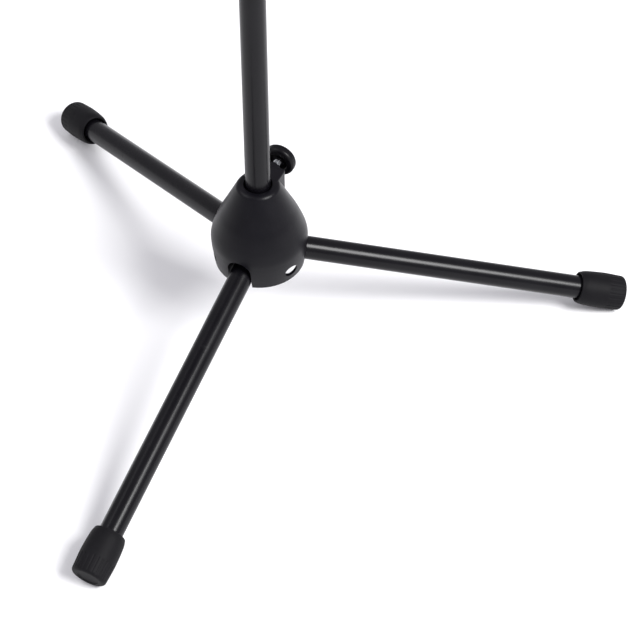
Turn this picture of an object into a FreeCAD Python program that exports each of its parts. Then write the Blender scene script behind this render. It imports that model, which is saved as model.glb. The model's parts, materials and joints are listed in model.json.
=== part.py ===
import FreeCAD, Part
import math
import os

# Folding music stand: a moulded bell hub on three folding tube legs, a two-part
# column with thumb-screw clamps, and a tilting sheet-steel desk.
# Frame: origin on the floor under the column, +Z up, the reader stands on the -Y
# side, one leg points along -Y and the hub's thumb screw points along +Y.
# All lengths are in millimetres.

V = FreeCAD.Vector
X_AXIS = V(1, 0, 0)
Y_AXIS = V(0, 1, 0)
Z_AXIS = V(0, 0, 1)

# ---- legs and feet -------------------------------------------------------
LEG_AZIMUTHS = {"front": 270.0, "right": 30.0, "left": 150.0}
LEG_R = 9.5
LEG_WALL = 1.25
LEG_SLOPE = 16.48
PIN_RHO = 23.0
PIN_R = 2.5
LUG_BORE_R = 2.55
LUG_DEPTH = 34.0
TUBE_PIN_HOLE_R = 3.4
FOOT_MOUTH_S = 249.0
FOOT_LENGTH = 39.0
FOOT_MOUTH_R = 12.9
FOOT_LIP = 0.8
FOOT_CROWN = 0.55
FOOT_BELLY_R = 14.9
FOOT_BELLY_S = 23.0
FOOT_TOE_R = 14.3
FOOT_TOE_ROUND = 3.0
FOOT_FLARE = 1.9
FOOT_FLARE_DEPTH = 7.0
FOOT_FLOOR = 5.0

# ---- hub -----------------------------------------------------------------
HUB_BOTTOM_Z = 84.0
HUB_BOTTOM_R = 36.2
HUB_BELLY_Z = 111.2
HUB_BELLY_R = 38.8
HUB_BULGE = [(0.5, -4.7), (0.0, 0.0), (1.2, 5.6), (4.0, 13.4)]
HUB_SHOULDER_Z = 132.7
HUB_SHOULDER_R = 31.5
HUB_RIM_Z = 164.2
HUB_RIM_R = 16.3
HUB_WALL = 2.5
HUB_ROOF_Z = 154.0
HUB_RIM_ROUND = 2.6
SLEEVE_R = 13.1
MOUTH_R = 11.0
MOUTH_DEPTH = 16.0
SLOT_HALF = 10.0
SLOT_TOP_Z = 110.5
CHEEK_WALL = 2.8
CHEEK_TOP_Z = 118.0
STOP_RHO = (24.0, 30.0)
STOP_GAP = 0.03
ACCESS_HOLE_R = 5.0
BOSS_HALF_WIDTH = 12.6
BOSS_FACE_Y = 24.0
BOSS_BOTTOM_Z = 140.0
BOSS_ROUND = 2.6
BOSS_TOP_ROUND = 1.6
BOSS_COLLAR_R = 6.2
BOSS_COLLAR_Y = 28.5
HUB_SCREW_Z = 157.2

# ---- column --------------------------------------------------------------
LOWER_R = 10.0
LOWER_WALL = 1.2
LOWER_BOTTOM_Z = 74.0
LOWER_TOP_Z = 630.0
UPPER_R = 8.0
UPPER_WALL = 1.2
UPPER_BOTTOM_Z = 351.0
UPPER_TOP_Z = 960.0
RUNNING_GAP = 0.08
PLUG_FLANGE = 4.0
PLUG_DEPTH = 16.0
GUIDE_HEAD = 60.0
GUIDE_STEM = 20.0

# ---- height collar -------------------------------------------------------
COLLAR_R = 14.0
COLLAR_BOTTOM_Z = 600.0
COLLAR_TOP_Z = 664.0
HEIGHT_SCREW_Z = 647.0
COLLAR_BOSS_R = 9.0
COLLAR_BOSS_Y = 23.0

# ---- thumb screws --------------------------------------------------------
SCREW_R = 2.95
INSERT_R = 4.0
INSERT_BORE_R = 3.0
INSERT_LENGTH = 10.0
PAD_R = 2.9
PAD_BORE_R = 3.0
PAD_LENGTH = 2.6
PAD_GAP = 0.03
SCREW_BORE_R = 3.3
KNOB_R = 13.5
KNOB_THICK = 8.0
KNOB_ROUND = 2.6
KNOB_RECESS_R = 8.0
KNOB_RECESS = 2.5
KNOB_STAND_OFF = 6.0
KNOB_CAP = 2.2

# ---- tilt head and desk --------------------------------------------------
TILT_Z = 985.0
DESK_LEAN = 22.0
HEAD_R = 13.0
HEAD_HALF = 15.9
SOCKET_R = 12.0
SOCKET_BOTTOM_Z = 925.0
WASHER_R = 11.0
WASHER_THICK = 1.0
EAR_THICK = 2.0
EAR_R = 12.5
BRACKET_HALF_WIDTH = 30.0
BRACKET_HALF_HEIGHT = 42.0
BRACKET_CORNER = 5.0
BRACKET_RIVET_INSET = 6.0
EAR_ROOT = 28.0
BOLT_HEAD_R = 8.0
BOLT_HEAD = 4.0
CUP_WASHER_R = 9.0
CUP_WASHER_THICK = 1.6
TILT_COLLAR = 3.5
TILT_COLLAR_R = 7.0
TILT_INSERT_R = 5.0
TILT_BORE = 10.0
TILT_INSERT_LENGTH = 9.5
TILT_BOLT_REACH = 9.0
DESK_WIDTH = 480.0
DESK_LOW = -110.0
DESK_HIGH = 220.0
DESK_CORNER = 26.0
DESK_FRONT = 36.0
SHEET = 1.2
RIM_DEPTH = 11.0
SHELF_DEPTH = 52.0
SHELF_LIP = 15.0
SHELF_FLANGE = 24.0
RIVET_R = 2.0
RIVET_HEAD_R = 3.6
RIVET_HEAD = 1.1
RIVET_SINK_R = 3.2
SLOT_ROWS = 5
SLOT_COLUMNS = 4
SLOT_LENGTH = 84.0
SLOT_WIDTH = 12.0
SLOT_PITCH_X = 108.0
SLOT_PITCH_V = 44.0
SLOT_FIRST_V = -22.0

SLOPE = math.radians(LEG_SLOPE)
# The toe's rounding touches the floor, which fixes how high the legs' axes meet.
TOE_S = PIN_RHO / math.cos(SLOPE) + FOOT_MOUTH_S + FOOT_LENGTH - FOOT_TOE_ROUND
APEX_Z = TOE_S * math.sin(SLOPE) + (FOOT_TOE_R - FOOT_TOE_ROUND) * math.cos(SLOPE) + FOOT_TOE_ROUND
PIN_Z = APEX_Z - PIN_RHO * math.tan(SLOPE)


def turned(points):
    """A solid turned about Z from an outline of (radius, height) points."""
    outline = [V(r, 0, z) for r, z in points]
    face = Part.Face(Part.makePolygon(outline + [outline[0]]))
    return face.revolve(V(0, 0, 0), Z_AXIS, 360)


def tube(outer, inner, z0, z1):
    """A straight tube along Z."""
    wall = Part.makeCylinder(outer, z1 - z0, V(0, 0, z0))
    return wall.cut(Part.makeCylinder(inner, z1 - z0 + 2, V(0, 0, z0 - 1)))


def box(x0, x1, y0, y1, z0, z1):
    """A box from its two corners."""
    return Part.makeBox(x1 - x0, y1 - y0, z1 - z0, V(x0, y0, z0))


def rod(radius, start, end):
    """A round rod between two points."""
    return Part.makeCylinder(radius, (end - start).Length, start, end - start)


def about_z(shape, azimuth):
    """A copy of a shape, turned about the column."""
    copy = shape.copy()
    copy.rotate(V(0, 0, 0), Z_AXIS, azimuth)
    return copy


def near_edges(shape, test):
    """The edges whose middle point passes a test."""
    found = []
    for edge in shape.Edges:
        middle = edge.valueAt((edge.FirstParameter + edge.LastParameter) / 2)
        if test(middle):
            found.append(edge)
    return found


# ---- legs ----------------------------------------------------------------
def on_leg(shape, azimuth):
    """Moves a shape from leg coordinates (X along the leg from its pin) to its place."""
    copy = shape.copy()
    copy.rotate(V(0, 0, 0), Y_AXIS, LEG_SLOPE)
    copy.translate(V(PIN_RHO, 0, PIN_Z))
    return about_z(copy, azimuth)


def leg_envelope(length):
    """The space of a leg that ends in a half round about its pin."""
    body = box(0, length, -LEG_R, LEG_R, -LEG_R, LEG_R)
    return body.fuse(rod(LEG_R, V(0, -LEG_R, 0), V(0, LEG_R, 0)))


def leg_tube():
    """A leg's steel tube, with its clearance holes for the pin."""
    end = FOOT_MOUTH_S + FOOT_LENGTH - FOOT_FLOOR
    wall = rod(LEG_R, V(-LEG_R, 0, 0), V(end, 0, 0)).common(leg_envelope(end))
    wall = wall.cut(rod(LEG_R - LEG_WALL, V(-LEG_R - 1, 0, 0), V(end + 1, 0, 0)))
    return wall.cut(rod(TUBE_PIN_HOLE_R, V(0, -LEG_R - 1, 0), V(0, LEG_R + 1, 0)))


def leg_lug():
    """The plastic lug that fills the tube's inner end and turns on the pin."""
    inner = LEG_R - LEG_WALL
    lug = rod(inner, V(-LEG_R, 0, 0), V(LUG_DEPTH, 0, 0)).common(leg_envelope(LUG_DEPTH))
    bearing = rod(TUBE_PIN_HOLE_R, V(0, -LEG_R, 0), V(0, LEG_R, 0))
    lug = lug.fuse(bearing).removeSplitter()
    return lug.cut(rod(LUG_BORE_R, V(0, -LEG_R - 1, 0), V(0, LEG_R + 1, 0)))


def foot():
    """A rubber foot cap: flared mouth, swelling body and rounded toe."""
    toe = FOOT_LENGTH - FOOT_TOE_ROUND
    core = FOOT_TOE_R - FOOT_TOE_ROUND
    diagonal = FOOT_TOE_ROUND * math.sqrt(0.5)
    outer = [
        Part.makeLine(V(0, LEG_R + FOOT_FLARE, 0), V(0, FOOT_MOUTH_R - FOOT_LIP, 0)),
        Part.makeLine(V(0, FOOT_MOUTH_R - FOOT_LIP, 0), V(FOOT_LIP, FOOT_MOUTH_R, 0)),
        Part.Arc(
            V(FOOT_LIP, FOOT_MOUTH_R, 0),
            V(FOOT_BELLY_S * 0.55, FOOT_BELLY_R - FOOT_CROWN, 0),
            V(FOOT_BELLY_S, FOOT_BELLY_R, 0),
        ).toShape(),
        Part.makeLine(V(FOOT_BELLY_S, FOOT_BELLY_R, 0), V(toe, FOOT_TOE_R, 0)),
        Part.Arc(
            V(toe, FOOT_TOE_R, 0), V(toe + diagonal, core + diagonal, 0), V(FOOT_LENGTH, core, 0)
        ).toShape(),
        Part.makeLine(V(FOOT_LENGTH, core, 0), V(FOOT_LENGTH, 0, 0)),
        Part.makeLine(V(FOOT_LENGTH, 0, 0), V(FOOT_LENGTH - FOOT_FLOOR, 0, 0)),
        Part.makeLine(V(FOOT_LENGTH - FOOT_FLOOR, 0, 0), V(FOOT_LENGTH - FOOT_FLOOR, LEG_R, 0)),
        Part.makeLine(V(FOOT_LENGTH - FOOT_FLOOR, LEG_R, 0), V(FOOT_FLARE_DEPTH, LEG_R, 0)),
        Part.makeLine(V(FOOT_FLARE_DEPTH, LEG_R, 0), V(0, LEG_R + FOOT_FLARE, 0)),
    ]
    cap = Part.Face(Part.Wire(outer)).revolve(V(0, 0, 0), X_AXIS, 360)
    cap.translate(V(FOOT_MOUTH_S, 0, 0))
    return cap


def leg_pin():
    """The steel pivot pin, across the leg, held in the hub's two cheeks."""
    half = SLOT_HALF + CHEEK_WALL
    return rod(PIN_R, V(PIN_RHO, -half, PIN_Z), V(PIN_RHO, half, PIN_Z))


# ---- hub -----------------------------------------------------------------
def hub_profile(inset, top_z):
    """The bell turned about Z, drawn in by the wall where it is the hollow."""
    slope = (HUB_SHOULDER_R - HUB_RIM_R) / (HUB_RIM_Z - HUB_SHOULDER_Z)
    top_r = HUB_RIM_R + (HUB_RIM_Z - top_z) * slope - inset
    low_z = HUB_BOTTOM_Z - (1.0 if inset else 0.0)
    bottom = V(HUB_BOTTOM_R - inset, 0, low_z)
    bulge_points = [V(HUB_BELLY_R - drop - inset, 0, HUB_BELLY_Z + rise) for drop, rise in HUB_BULGE]
    skirt_top = bulge_points[0]
    shoulder = V(HUB_SHOULDER_R - inset, 0, HUB_SHOULDER_Z)
    top = V(top_r, 0, top_z)
    cone = (shoulder - top).normalize()
    bulge = Part.BSplineCurve()
    bulge.interpolate(
        Points=bulge_points + [shoulder],
        InitialTangent=(skirt_top - bottom).normalize() * 5,
        FinalTangent=cone * -9,
    )
    # The rim is rounded off by an arc between the cone and the flat mouth.
    turn = math.acos(abs(cone.x))
    setback = HUB_RIM_ROUND * math.tan(turn / 2)
    arc_start = top + cone * setback
    arc_end = top - V(setback, 0, 0)
    centre = arc_end - V(0, 0, HUB_RIM_ROUND)
    arc_middle = centre + ((arc_start + arc_end) * 0.5 - centre).normalize() * HUB_RIM_ROUND
    edges = [
        Part.makeLine(V(0, 0, low_z), bottom),
        Part.makeLine(bottom, skirt_top),
        bulge.toShape(),
        Part.makeLine(shoulder, arc_start),
        Part.Arc(arc_start, arc_middle, arc_end).toShape(),
        Part.makeLine(arc_end, V(0, 0, top_z)),
        Part.makeLine(V(0, 0, top_z), V(0, 0, low_z)),
    ]
    return Part.Face(Part.Wire(edges)).revolve(V(0, 0, 0), Z_AXIS, 360)


def boss_block():
    """The plain block that the screw boss is shaped from."""
    return box(-BOSS_HALF_WIDTH, BOSS_HALF_WIDTH, 0, BOSS_FACE_Y, BOSS_BOTTOM_Z, HUB_RIM_Z)


def screw_boss():
    """The block behind the neck that carries the thumb screw."""
    block = boss_block()
    uprights = near_edges(block, lambda p: p.y > BOSS_FACE_Y - 1 and abs(p.x) > BOSS_HALF_WIDTH - 1)
    block = block.makeFillet(BOSS_ROUND, uprights)
    top = near_edges(block, lambda p: p.z > HUB_RIM_Z - 0.1 and p.y > 1)
    return block.makeFillet(BOSS_TOP_ROUND, top)


def leg_tunnel():
    """The arched way that a leg needs, open at the bottom of the skirt."""
    start = SLEEVE_R + 0.15
    reach = 2 * HUB_BELLY_R
    arch_z = SLOT_TOP_Z - SLOT_HALF
    below = box(start, reach, -SLOT_HALF, SLOT_HALF, HUB_BOTTOM_Z - 5, arch_z)
    return below.fuse(rod(SLOT_HALF, V(start, 0, arch_z), V(reach, 0, arch_z)))


def leg_stop():
    """The web over the leg that it rests against when it is opened out."""
    rho0, rho1 = STOP_RHO
    lift = (LEG_R + STOP_GAP) / math.cos(SLOPE)
    points = []
    for rho in (rho0, rho1):
        points.append(V(rho, -SLOT_HALF - 0.5, PIN_Z + lift - (rho - PIN_RHO) * math.tan(SLOPE)))
    points.append(V(rho1, -SLOT_HALF - 0.5, SLOT_TOP_Z + 2))
    points.append(V(rho0, -SLOT_HALF - 0.5, SLOT_TOP_Z + 2))
    face = Part.Face(Part.makePolygon(points + [points[0]]))
    return face.extrude(V(0, 2 * SLOT_HALF + 1, 0))


def hub_shell():
    """The moulded bell with its sleeve, cheeks, leg slots, stops and screw boss."""
    outside = hub_profile(0.0, HUB_RIM_Z)
    outside = outside.fuse(screw_boss())
    hollow = hub_profile(HUB_WALL, HUB_ROOF_Z)
    shell = outside.cut(hollow.cut(boss_block()))
    cheeks = []
    for azimuth in LEG_AZIMUTHS.values():
        for side in (-1, 1):
            y0, y1 = sorted((side * SLOT_HALF, side * (SLOT_HALF + CHEEK_WALL)))
            wall = box(6, HUB_BELLY_R, y0, y1, HUB_BOTTOM_Z + 1.5, CHEEK_TOP_Z)
            cheeks.append(about_z(wall, azimuth))
    inside = hub_profile(HUB_WALL / 2, HUB_ROOF_Z)
    webs = cheeks[0].fuse(cheeks[1:]).common(inside)
    shell = shell.fuse(webs)
    for azimuth in LEG_AZIMUTHS.values():
        shell = shell.cut(about_z(leg_tunnel(), azimuth))
    sleeve = Part.makeCylinder(SLEEVE_R, HUB_RIM_Z - HUB_BOTTOM_Z - 6, V(0, 0, HUB_BOTTOM_Z + 1))
    parts = [sleeve]
    for azimuth in LEG_AZIMUTHS.values():
        parts.append(about_z(leg_stop(), azimuth).common(inside))
    shell = shell.fuse(parts)
    for azimuth in LEG_AZIMUTHS.values():
        pin = rod(PIN_R, V(PIN_RHO, -BOSS_FACE_Y, PIN_Z), V(PIN_RHO, SLOT_HALF + CHEEK_WALL, PIN_Z))
        access = rod(
            ACCESS_HOLE_R,
            V(PIN_RHO, -2 * HUB_BELLY_R, PIN_Z),
            V(PIN_RHO, -SLOT_HALF - CHEEK_WALL, PIN_Z),
        )
        shell = shell.cut(about_z(pin.fuse(access), azimuth))
    shell = shell.cut(Part.makeCylinder(LOWER_R + RUNNING_GAP, 200, V(0, 0, 50)))
    flare = turned(
        [
            (0, HUB_RIM_Z - MOUTH_DEPTH),
            (LOWER_R, HUB_RIM_Z - MOUTH_DEPTH),
            (MOUTH_R, HUB_RIM_Z - MOUTH_DEPTH + 2),
            (MOUTH_R, HUB_RIM_Z - 0.9),
            (MOUTH_R + 0.9, HUB_RIM_Z),
            (MOUTH_R + 0.9, HUB_RIM_Z + 1),
            (0, HUB_RIM_Z + 1),
        ]
    )
    shell = shell.cut(flare)
    collar = rod(BOSS_COLLAR_R, V(0, MOUTH_R + 4, HUB_SCREW_Z), V(0, BOSS_COLLAR_Y, HUB_SCREW_Z))
    shell = shell.fuse(collar)
    shell = shell.cut(screw_ways(HUB_SCREW_Z, BOSS_COLLAR_Y))
    return shell.removeSplitter()


# ---- thumb screws --------------------------------------------------------
def insert_start(face_y):
    """How far from the column the brass insert starts."""
    return face_y - 2 - INSERT_LENGTH


def screw_ways(z, face_y):
    """What a boss loses to its pad, screw and brass insert."""
    start = insert_start(face_y)
    pad_way = rod(PAD_BORE_R, V(0, 0, z), V(0, start + 0.5, z))
    seat = rod(INSERT_R, V(0, start, z), V(0, start + INSERT_LENGTH, z))
    mouth = rod(SCREW_BORE_R, V(0, start, z), V(0, face_y + 1, z))
    return pad_way.fuse([seat, mouth])


def insert(z, face_y):
    """The brass threaded insert in a boss."""
    start = insert_start(face_y)
    ring = rod(INSERT_R, V(0, start, z), V(0, start + INSERT_LENGTH, z))
    return ring.cut(rod(INSERT_BORE_R, V(0, 0, z), V(0, face_y + 1, z)))


def pad(z, tube_r):
    """The pressure pad between the screw's tip and the tube."""
    return rod(PAD_R, V(0, tube_r + PAD_GAP, z), V(0, tube_r + PAD_GAP + PAD_LENGTH, z))


def screw(z, tube_r, face_y):
    """The screw, from the pad to inside its knob."""
    tip = tube_r + PAD_GAP + PAD_LENGTH
    end = face_y + KNOB_STAND_OFF + KNOB_THICK - KNOB_CAP
    return rod(SCREW_R, V(0, tip, z), V(0, end, z))


def knob_disc():
    """A disc along +Z with both its rims rounded."""
    disc = Part.makeCylinder(KNOB_R, KNOB_THICK)
    rims = near_edges(disc, lambda p: min(p.z, KNOB_THICK - p.z) < 0.1)
    return disc.makeFillet(KNOB_ROUND, rims)


def knob_blank():
    """A round knob along +Z with its recessed side at the origin."""
    return knob_disc().cut(Part.makeCylinder(KNOB_RECESS_R, KNOB_RECESS + 1, V(0, 0, -1)))


def knob(z, face_y):
    """A thumb knob on its screw."""
    shape = knob_blank()
    shape.rotate(V(0, 0, 0), X_AXIS, -90)
    start = face_y + KNOB_STAND_OFF
    shape.translate(V(0, start, z))
    return shape.cut(rod(SCREW_R, V(0, start - 1, z), V(0, start + KNOB_THICK - KNOB_CAP, z)))


# ---- column --------------------------------------------------------------
def lower_plug():
    """The plastic plug in the lower tube's bottom end."""
    inner = LOWER_R - LOWER_WALL
    z = LOWER_BOTTOM_Z
    return turned(
        [
            (0, z - PLUG_FLANGE),
            (LOWER_R - 1.5, z - PLUG_FLANGE),
            (LOWER_R - 0.1, z - PLUG_FLANGE + 1.4),
            (LOWER_R - 0.1, z),
            (inner, z),
            (inner, z + PLUG_DEPTH),
            (0, z + PLUG_DEPTH),
        ]
    )


def guide_plug():
    """The guide on the upper tube's lower end, which slides in the lower tube."""
    head_r = LOWER_R - LOWER_WALL - RUNNING_GAP
    stem_r = UPPER_R - UPPER_WALL - RUNNING_GAP
    z = UPPER_BOTTOM_Z
    return turned(
        [
            (0, z - GUIDE_HEAD),
            (head_r - 1, z - GUIDE_HEAD),
            (head_r, z - GUIDE_HEAD + 1),
            (head_r, z - 0.05),
            (stem_r, z - 0.05),
            (stem_r, z + GUIDE_STEM),
            (0, z + GUIDE_STEM),
        ]
    )


def height_collar():
    """The moulded collar on the lower tube's top, with the height screw's boss."""
    body = turned(
        [
            (0, COLLAR_BOTTOM_Z),
            (COLLAR_R - 2.4, COLLAR_BOTTOM_Z),
            (COLLAR_R - 1.4, COLLAR_BOTTOM_Z + 1),
            (COLLAR_R - 0.6, COLLAR_BOTTOM_Z + 18),
            (COLLAR_R, COLLAR_BOTTOM_Z + 28),
            (COLLAR_R, COLLAR_TOP_Z - 5),
            (COLLAR_R - 2.2, COLLAR_TOP_Z - 1),
            (COLLAR_R - 3.4, COLLAR_TOP_Z),
            (0, COLLAR_TOP_Z),
        ]
    )
    boss = rod(COLLAR_BOSS_R, V(0, 0, HEIGHT_SCREW_Z), V(0, COLLAR_BOSS_Y, HEIGHT_SCREW_Z))
    rim = near_edges(boss, lambda p: p.y > COLLAR_BOSS_Y - 0.1)
    body = body.fuse(boss.makeFillet(1.2, rim))
    seat = Part.makeCylinder(LOWER_R, LOWER_TOP_Z - COLLAR_BOTTOM_Z + 1, V(0, 0, COLLAR_BOTTOM_Z - 1))
    body = body.cut(seat)
    body = body.cut(Part.makeCylinder(UPPER_R + RUNNING_GAP, 200, V(0, 0, COLLAR_BOTTOM_Z)))
    return body.cut(screw_ways(HEIGHT_SCREW_Z, COLLAR_BOSS_Y))


# ---- tilt head -----------------------------------------------------------
def tilt_head():
    """The moulded head on the upper tube: a socket below a cross barrel."""
    barrel = rod(HEAD_R, V(-HEAD_HALF, 0, TILT_Z), V(HEAD_HALF, 0, TILT_Z))
    ends = near_edges(barrel, lambda p: abs(p.x) > HEAD_HALF - 0.1)
    barrel = barrel.makeFillet(0.8, ends)
    socket = turned(
        [
            (0, SOCKET_BOTTOM_Z),
            (SOCKET_R - 1.6, SOCKET_BOTTOM_Z),
            (SOCKET_R - 0.8, SOCKET_BOTTOM_Z + 1),
            (SOCKET_R, TILT_Z - 18),
            (SOCKET_R, TILT_Z),
            (0, TILT_Z),
        ]
    )
    head = barrel.fuse(socket).removeSplitter()
    seat = Part.makeCylinder(UPPER_R, UPPER_TOP_Z - SOCKET_BOTTOM_Z + 1, V(0, 0, SOCKET_BOTTOM_Z - 1))
    head = head.cut(seat)
    return head.cut(rod(INSERT_BORE_R, V(-50, 0, TILT_Z), V(50, 0, TILT_Z)))


def tilt_washers():
    """The two friction washers beside the cross barrel."""
    rings = []
    for side in (-1, 1):
        x0, x1 = sorted((side * HEAD_HALF, side * (HEAD_HALF + WASHER_THICK)))
        ring = rod(WASHER_R, V(x0, 0, TILT_Z), V(x1, 0, TILT_Z))
        rings.append(ring.cut(rod(INSERT_BORE_R, V(-50, 0, TILT_Z), V(50, 0, TILT_Z))))
    return Part.makeCompound(rings)


def ear_inner_x():
    """Half the space between the bracket's ears."""
    return HEAD_HALF + WASHER_THICK + 0.05


# ---- desk, drawn upright with the tilt axis as its X axis -------------------
def on_desk(shape):
    """Leans a shape drawn upright about the tilt axis back to its place."""
    copy = shape.copy()
    copy.rotate(V(0, 0, 0), X_AXIS, -DESK_LEAN)
    copy.translate(V(0, 0, TILT_Z))
    return copy


def rounded_panel(half_width, low, high, corner, y0, y1):
    """A panel with its two top corners rounded, between two depths."""
    k = corner * (1 - math.sqrt(0.5))
    left_top = V(-half_width, y0, high - corner)
    top_left = V(-half_width + corner, y0, high)
    top_right = V(half_width - corner, y0, high)
    right_top = V(half_width, y0, high - corner)
    edges = [
        Part.makeLine(V(half_width, y0, low), V(-half_width, y0, low)),
        Part.makeLine(V(-half_width, y0, low), left_top),
        Part.Arc(left_top, V(-half_width + k, y0, high - k), top_left).toShape(),
        Part.makeLine(top_left, top_right),
        Part.Arc(top_right, V(half_width - k, y0, high - k), right_top).toShape(),
        Part.makeLine(right_top, V(half_width, y0, low)),
    ]
    return Part.Face(Part.Wire(edges)).extrude(V(0, y1 - y0, 0))


def long_slot(x, z, y0, y1):
    """A round-ended slot along X, as a cutting solid."""
    r = SLOT_WIDTH / 2
    half = SLOT_LENGTH / 2 - r
    middle = box(x - half, x + half, y0, y1, z - r, z + r)
    ends = [rod(r, V(x + side * half, y0, z), V(x + side * half, y1, z)) for side in (-1, 1)]
    return middle.fuse(ends).removeSplitter()


def desk_plate():
    """The pressed desk: a flat panel with its edges folded back, and long slots."""
    half = DESK_WIDTH / 2
    front = -DESK_FRONT
    pan = rounded_panel(half, DESK_LOW, DESK_HIGH, DESK_CORNER, front, front + RIM_DEPTH)
    rim = near_edges(pan, lambda p: abs(p.y - front) < 0.1 and p.z > DESK_LOW + 1)
    pan = pan.makeFillet(2.4, rim)
    hollow = rounded_panel(
        half - SHEET, DESK_LOW - 1, DESK_HIGH - SHEET, DESK_CORNER - SHEET, front + SHEET, front + 50
    )
    inner_rim = near_edges(hollow, lambda p: abs(p.y - front - SHEET) < 0.1 and p.z > DESK_LOW + 1)
    pan = pan.cut(hollow.makeFillet(1.2, inner_rim))
    cutters = []
    for row in range(SLOT_ROWS):
        for column in range(SLOT_COLUMNS):
            x = (column - (SLOT_COLUMNS - 1) / 2) * SLOT_PITCH_X
            z = SLOT_FIRST_V + row * SLOT_PITCH_V
            cutters.append(long_slot(x, z, front - 1, front + SHEET + 1))
    pan = pan.cut(Part.makeCompound(cutters))
    for x, z in bracket_rivet_places() + shelf_rivet_places():
        pan = pan.cut(countersink(x, z))
    return pan


def bracket_rivet_places():
    """Where the bracket is riveted to the panel."""
    x = BRACKET_HALF_WIDTH - BRACKET_RIVET_INSET
    z = BRACKET_HALF_HEIGHT - BRACKET_RIVET_INSET
    return [(-x, -z), (x, -z), (-x, z), (x, z)]


def shelf_rivet_places():
    """Where the shelf is riveted to the panel."""
    return [(x, DESK_LOW + SHELF_FLANGE / 2) for x in (-200, -100, 0, 100, 200)]


def desk_shelf():
    """The music ledge: a flange behind the panel, a shelf and an upturned lip."""
    half = DESK_WIDTH / 2 - SHEET - 0.3
    back = -DESK_FRONT + SHEET
    front = -DESK_FRONT - SHELF_DEPTH
    low = DESK_LOW - SHEET
    outer = box(-half, half, front, back + SHEET, low, DESK_LOW + SHELF_FLANGE)
    bend = near_edges(outer, lambda p: p.z < low + 0.1 and (p.y < front + 0.1 or p.y > back))
    outer = outer.makeFillet(2.2, bend)
    inner = box(-half - 1, half + 1, front + SHEET, back, DESK_LOW, DESK_LOW + SHELF_FLANGE + 1)
    trimmed = outer.cut(inner)
    above_lip = box(-half - 1, half + 1, front - 1, back - 1, DESK_LOW + SHELF_LIP, DESK_LOW + 50)
    trimmed = trimmed.cut(above_lip)
    lip_z = DESK_LOW + SHELF_LIP
    corners = near_edges(trimmed, lambda p: abs(p.x) > half - 0.1 and p.z > lip_z - 0.1 and p.y < back - 1)
    trimmed = trimmed.makeFillet(6.0, corners)
    for x, z in shelf_rivet_places():
        trimmed = trimmed.cut(rod(RIVET_R, V(x, back - 1, z), V(x, back + SHEET + 1, z)))
    return trimmed


def desk_bracket():
    """The steel channel behind the panel, with an ear on each side of the head."""
    back = -DESK_FRONT + SHEET
    half_width, half_height = BRACKET_HALF_WIDTH, BRACKET_HALF_HEIGHT
    base = box(-half_width, half_width, back, back + EAR_THICK, -half_height, half_height)
    base = base.makeFillet(
        BRACKET_CORNER,
        near_edges(base, lambda p: abs(p.x) > half_width - 0.1 and abs(p.z) > half_height - 0.1),
    )
    ears = []
    for side in (-1, 1):
        x0, x1 = sorted((side * ear_inner_x(), side * (ear_inner_x() + EAR_THICK)))
        outline = [V(x0, back, -EAR_ROOT), V(x0, 0, -EAR_R), V(x0, 0, EAR_R), V(x0, back, EAR_ROOT)]
        web = Part.Face(Part.makePolygon(outline + [outline[0]])).extrude(V(x1 - x0, 0, 0))
        ears.append(web.fuse(rod(EAR_R, V(x0, 0, 0), V(x1, 0, 0))))
    bracket = base.fuse(ears).removeSplitter()
    bracket = bracket.cut(rod(INSERT_BORE_R, V(-50, 0, 0), V(50, 0, 0)))
    for x, z in bracket_rivet_places():
        bracket = bracket.cut(rod(RIVET_R, V(x, back - 1, z), V(x, back + EAR_THICK + 1, z)))
    return bracket


def countersink(x, z):
    """The countersunk hole in the panel, which a rivet fills flush with its front."""
    return Part.makeCone(RIVET_SINK_R, RIVET_R, SHEET, V(x, -DESK_FRONT, z), Y_AXIS)


def rivet(x, z, backing):
    """One rivet, flush in the panel's front, with a low round head behind its backing."""
    y_back = -DESK_FRONT + SHEET + backing
    ball_r = (RIVET_HEAD_R ** 2 + RIVET_HEAD ** 2) / (2 * RIVET_HEAD)
    ball = Part.makeSphere(ball_r, V(x, y_back + RIVET_HEAD - ball_r, z))
    head = ball.common(rod(RIVET_HEAD_R + 1, V(x, y_back, z), V(x, y_back + 3, z)))
    shank = rod(RIVET_R, V(x, -DESK_FRONT, z), V(x, y_back, z))
    return shank.fuse([countersink(x, z), head]).removeSplitter()


def bracket_rivets():
    """The four rivets that hold the bracket to the panel."""
    return Part.makeCompound([rivet(x, z, EAR_THICK) for x, z in bracket_rivet_places()])


def tilt_bolt():
    """The round-headed bolt through the ears, which turns with the desk."""
    head_x = ear_inner_x() + EAR_THICK
    shank = rod(SCREW_R, V(tilt_knob_x() - TILT_BOLT_REACH, 0, 0), V(head_x, 0, 0))
    head = rod(BOLT_HEAD_R, V(head_x, 0, 0), V(head_x + BOLT_HEAD, 0, 0))
    head = head.makeFillet(2.6, near_edges(head, lambda p: p.x > head_x + BOLT_HEAD - 0.1))
    return head.fuse(shank).removeSplitter()


def cup_washer():
    """The cup washer between the left ear and the tilt knob."""
    x = -(ear_inner_x() + EAR_THICK)
    ring = rod(CUP_WASHER_R, V(x, 0, 0), V(x - CUP_WASHER_THICK, 0, 0))
    ring = ring.makeFillet(0.7, near_edges(ring, lambda p: p.x < x - CUP_WASHER_THICK + 0.1))
    return ring.cut(rod(INSERT_BORE_R, V(-80, 0, 0), V(80, 0, 0)))


def tilt_knob_x():
    """Where the tilt knob's collar starts, a running gap clear of the cup washer."""
    return -(ear_inner_x() + EAR_THICK + CUP_WASHER_THICK + 0.05)


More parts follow.
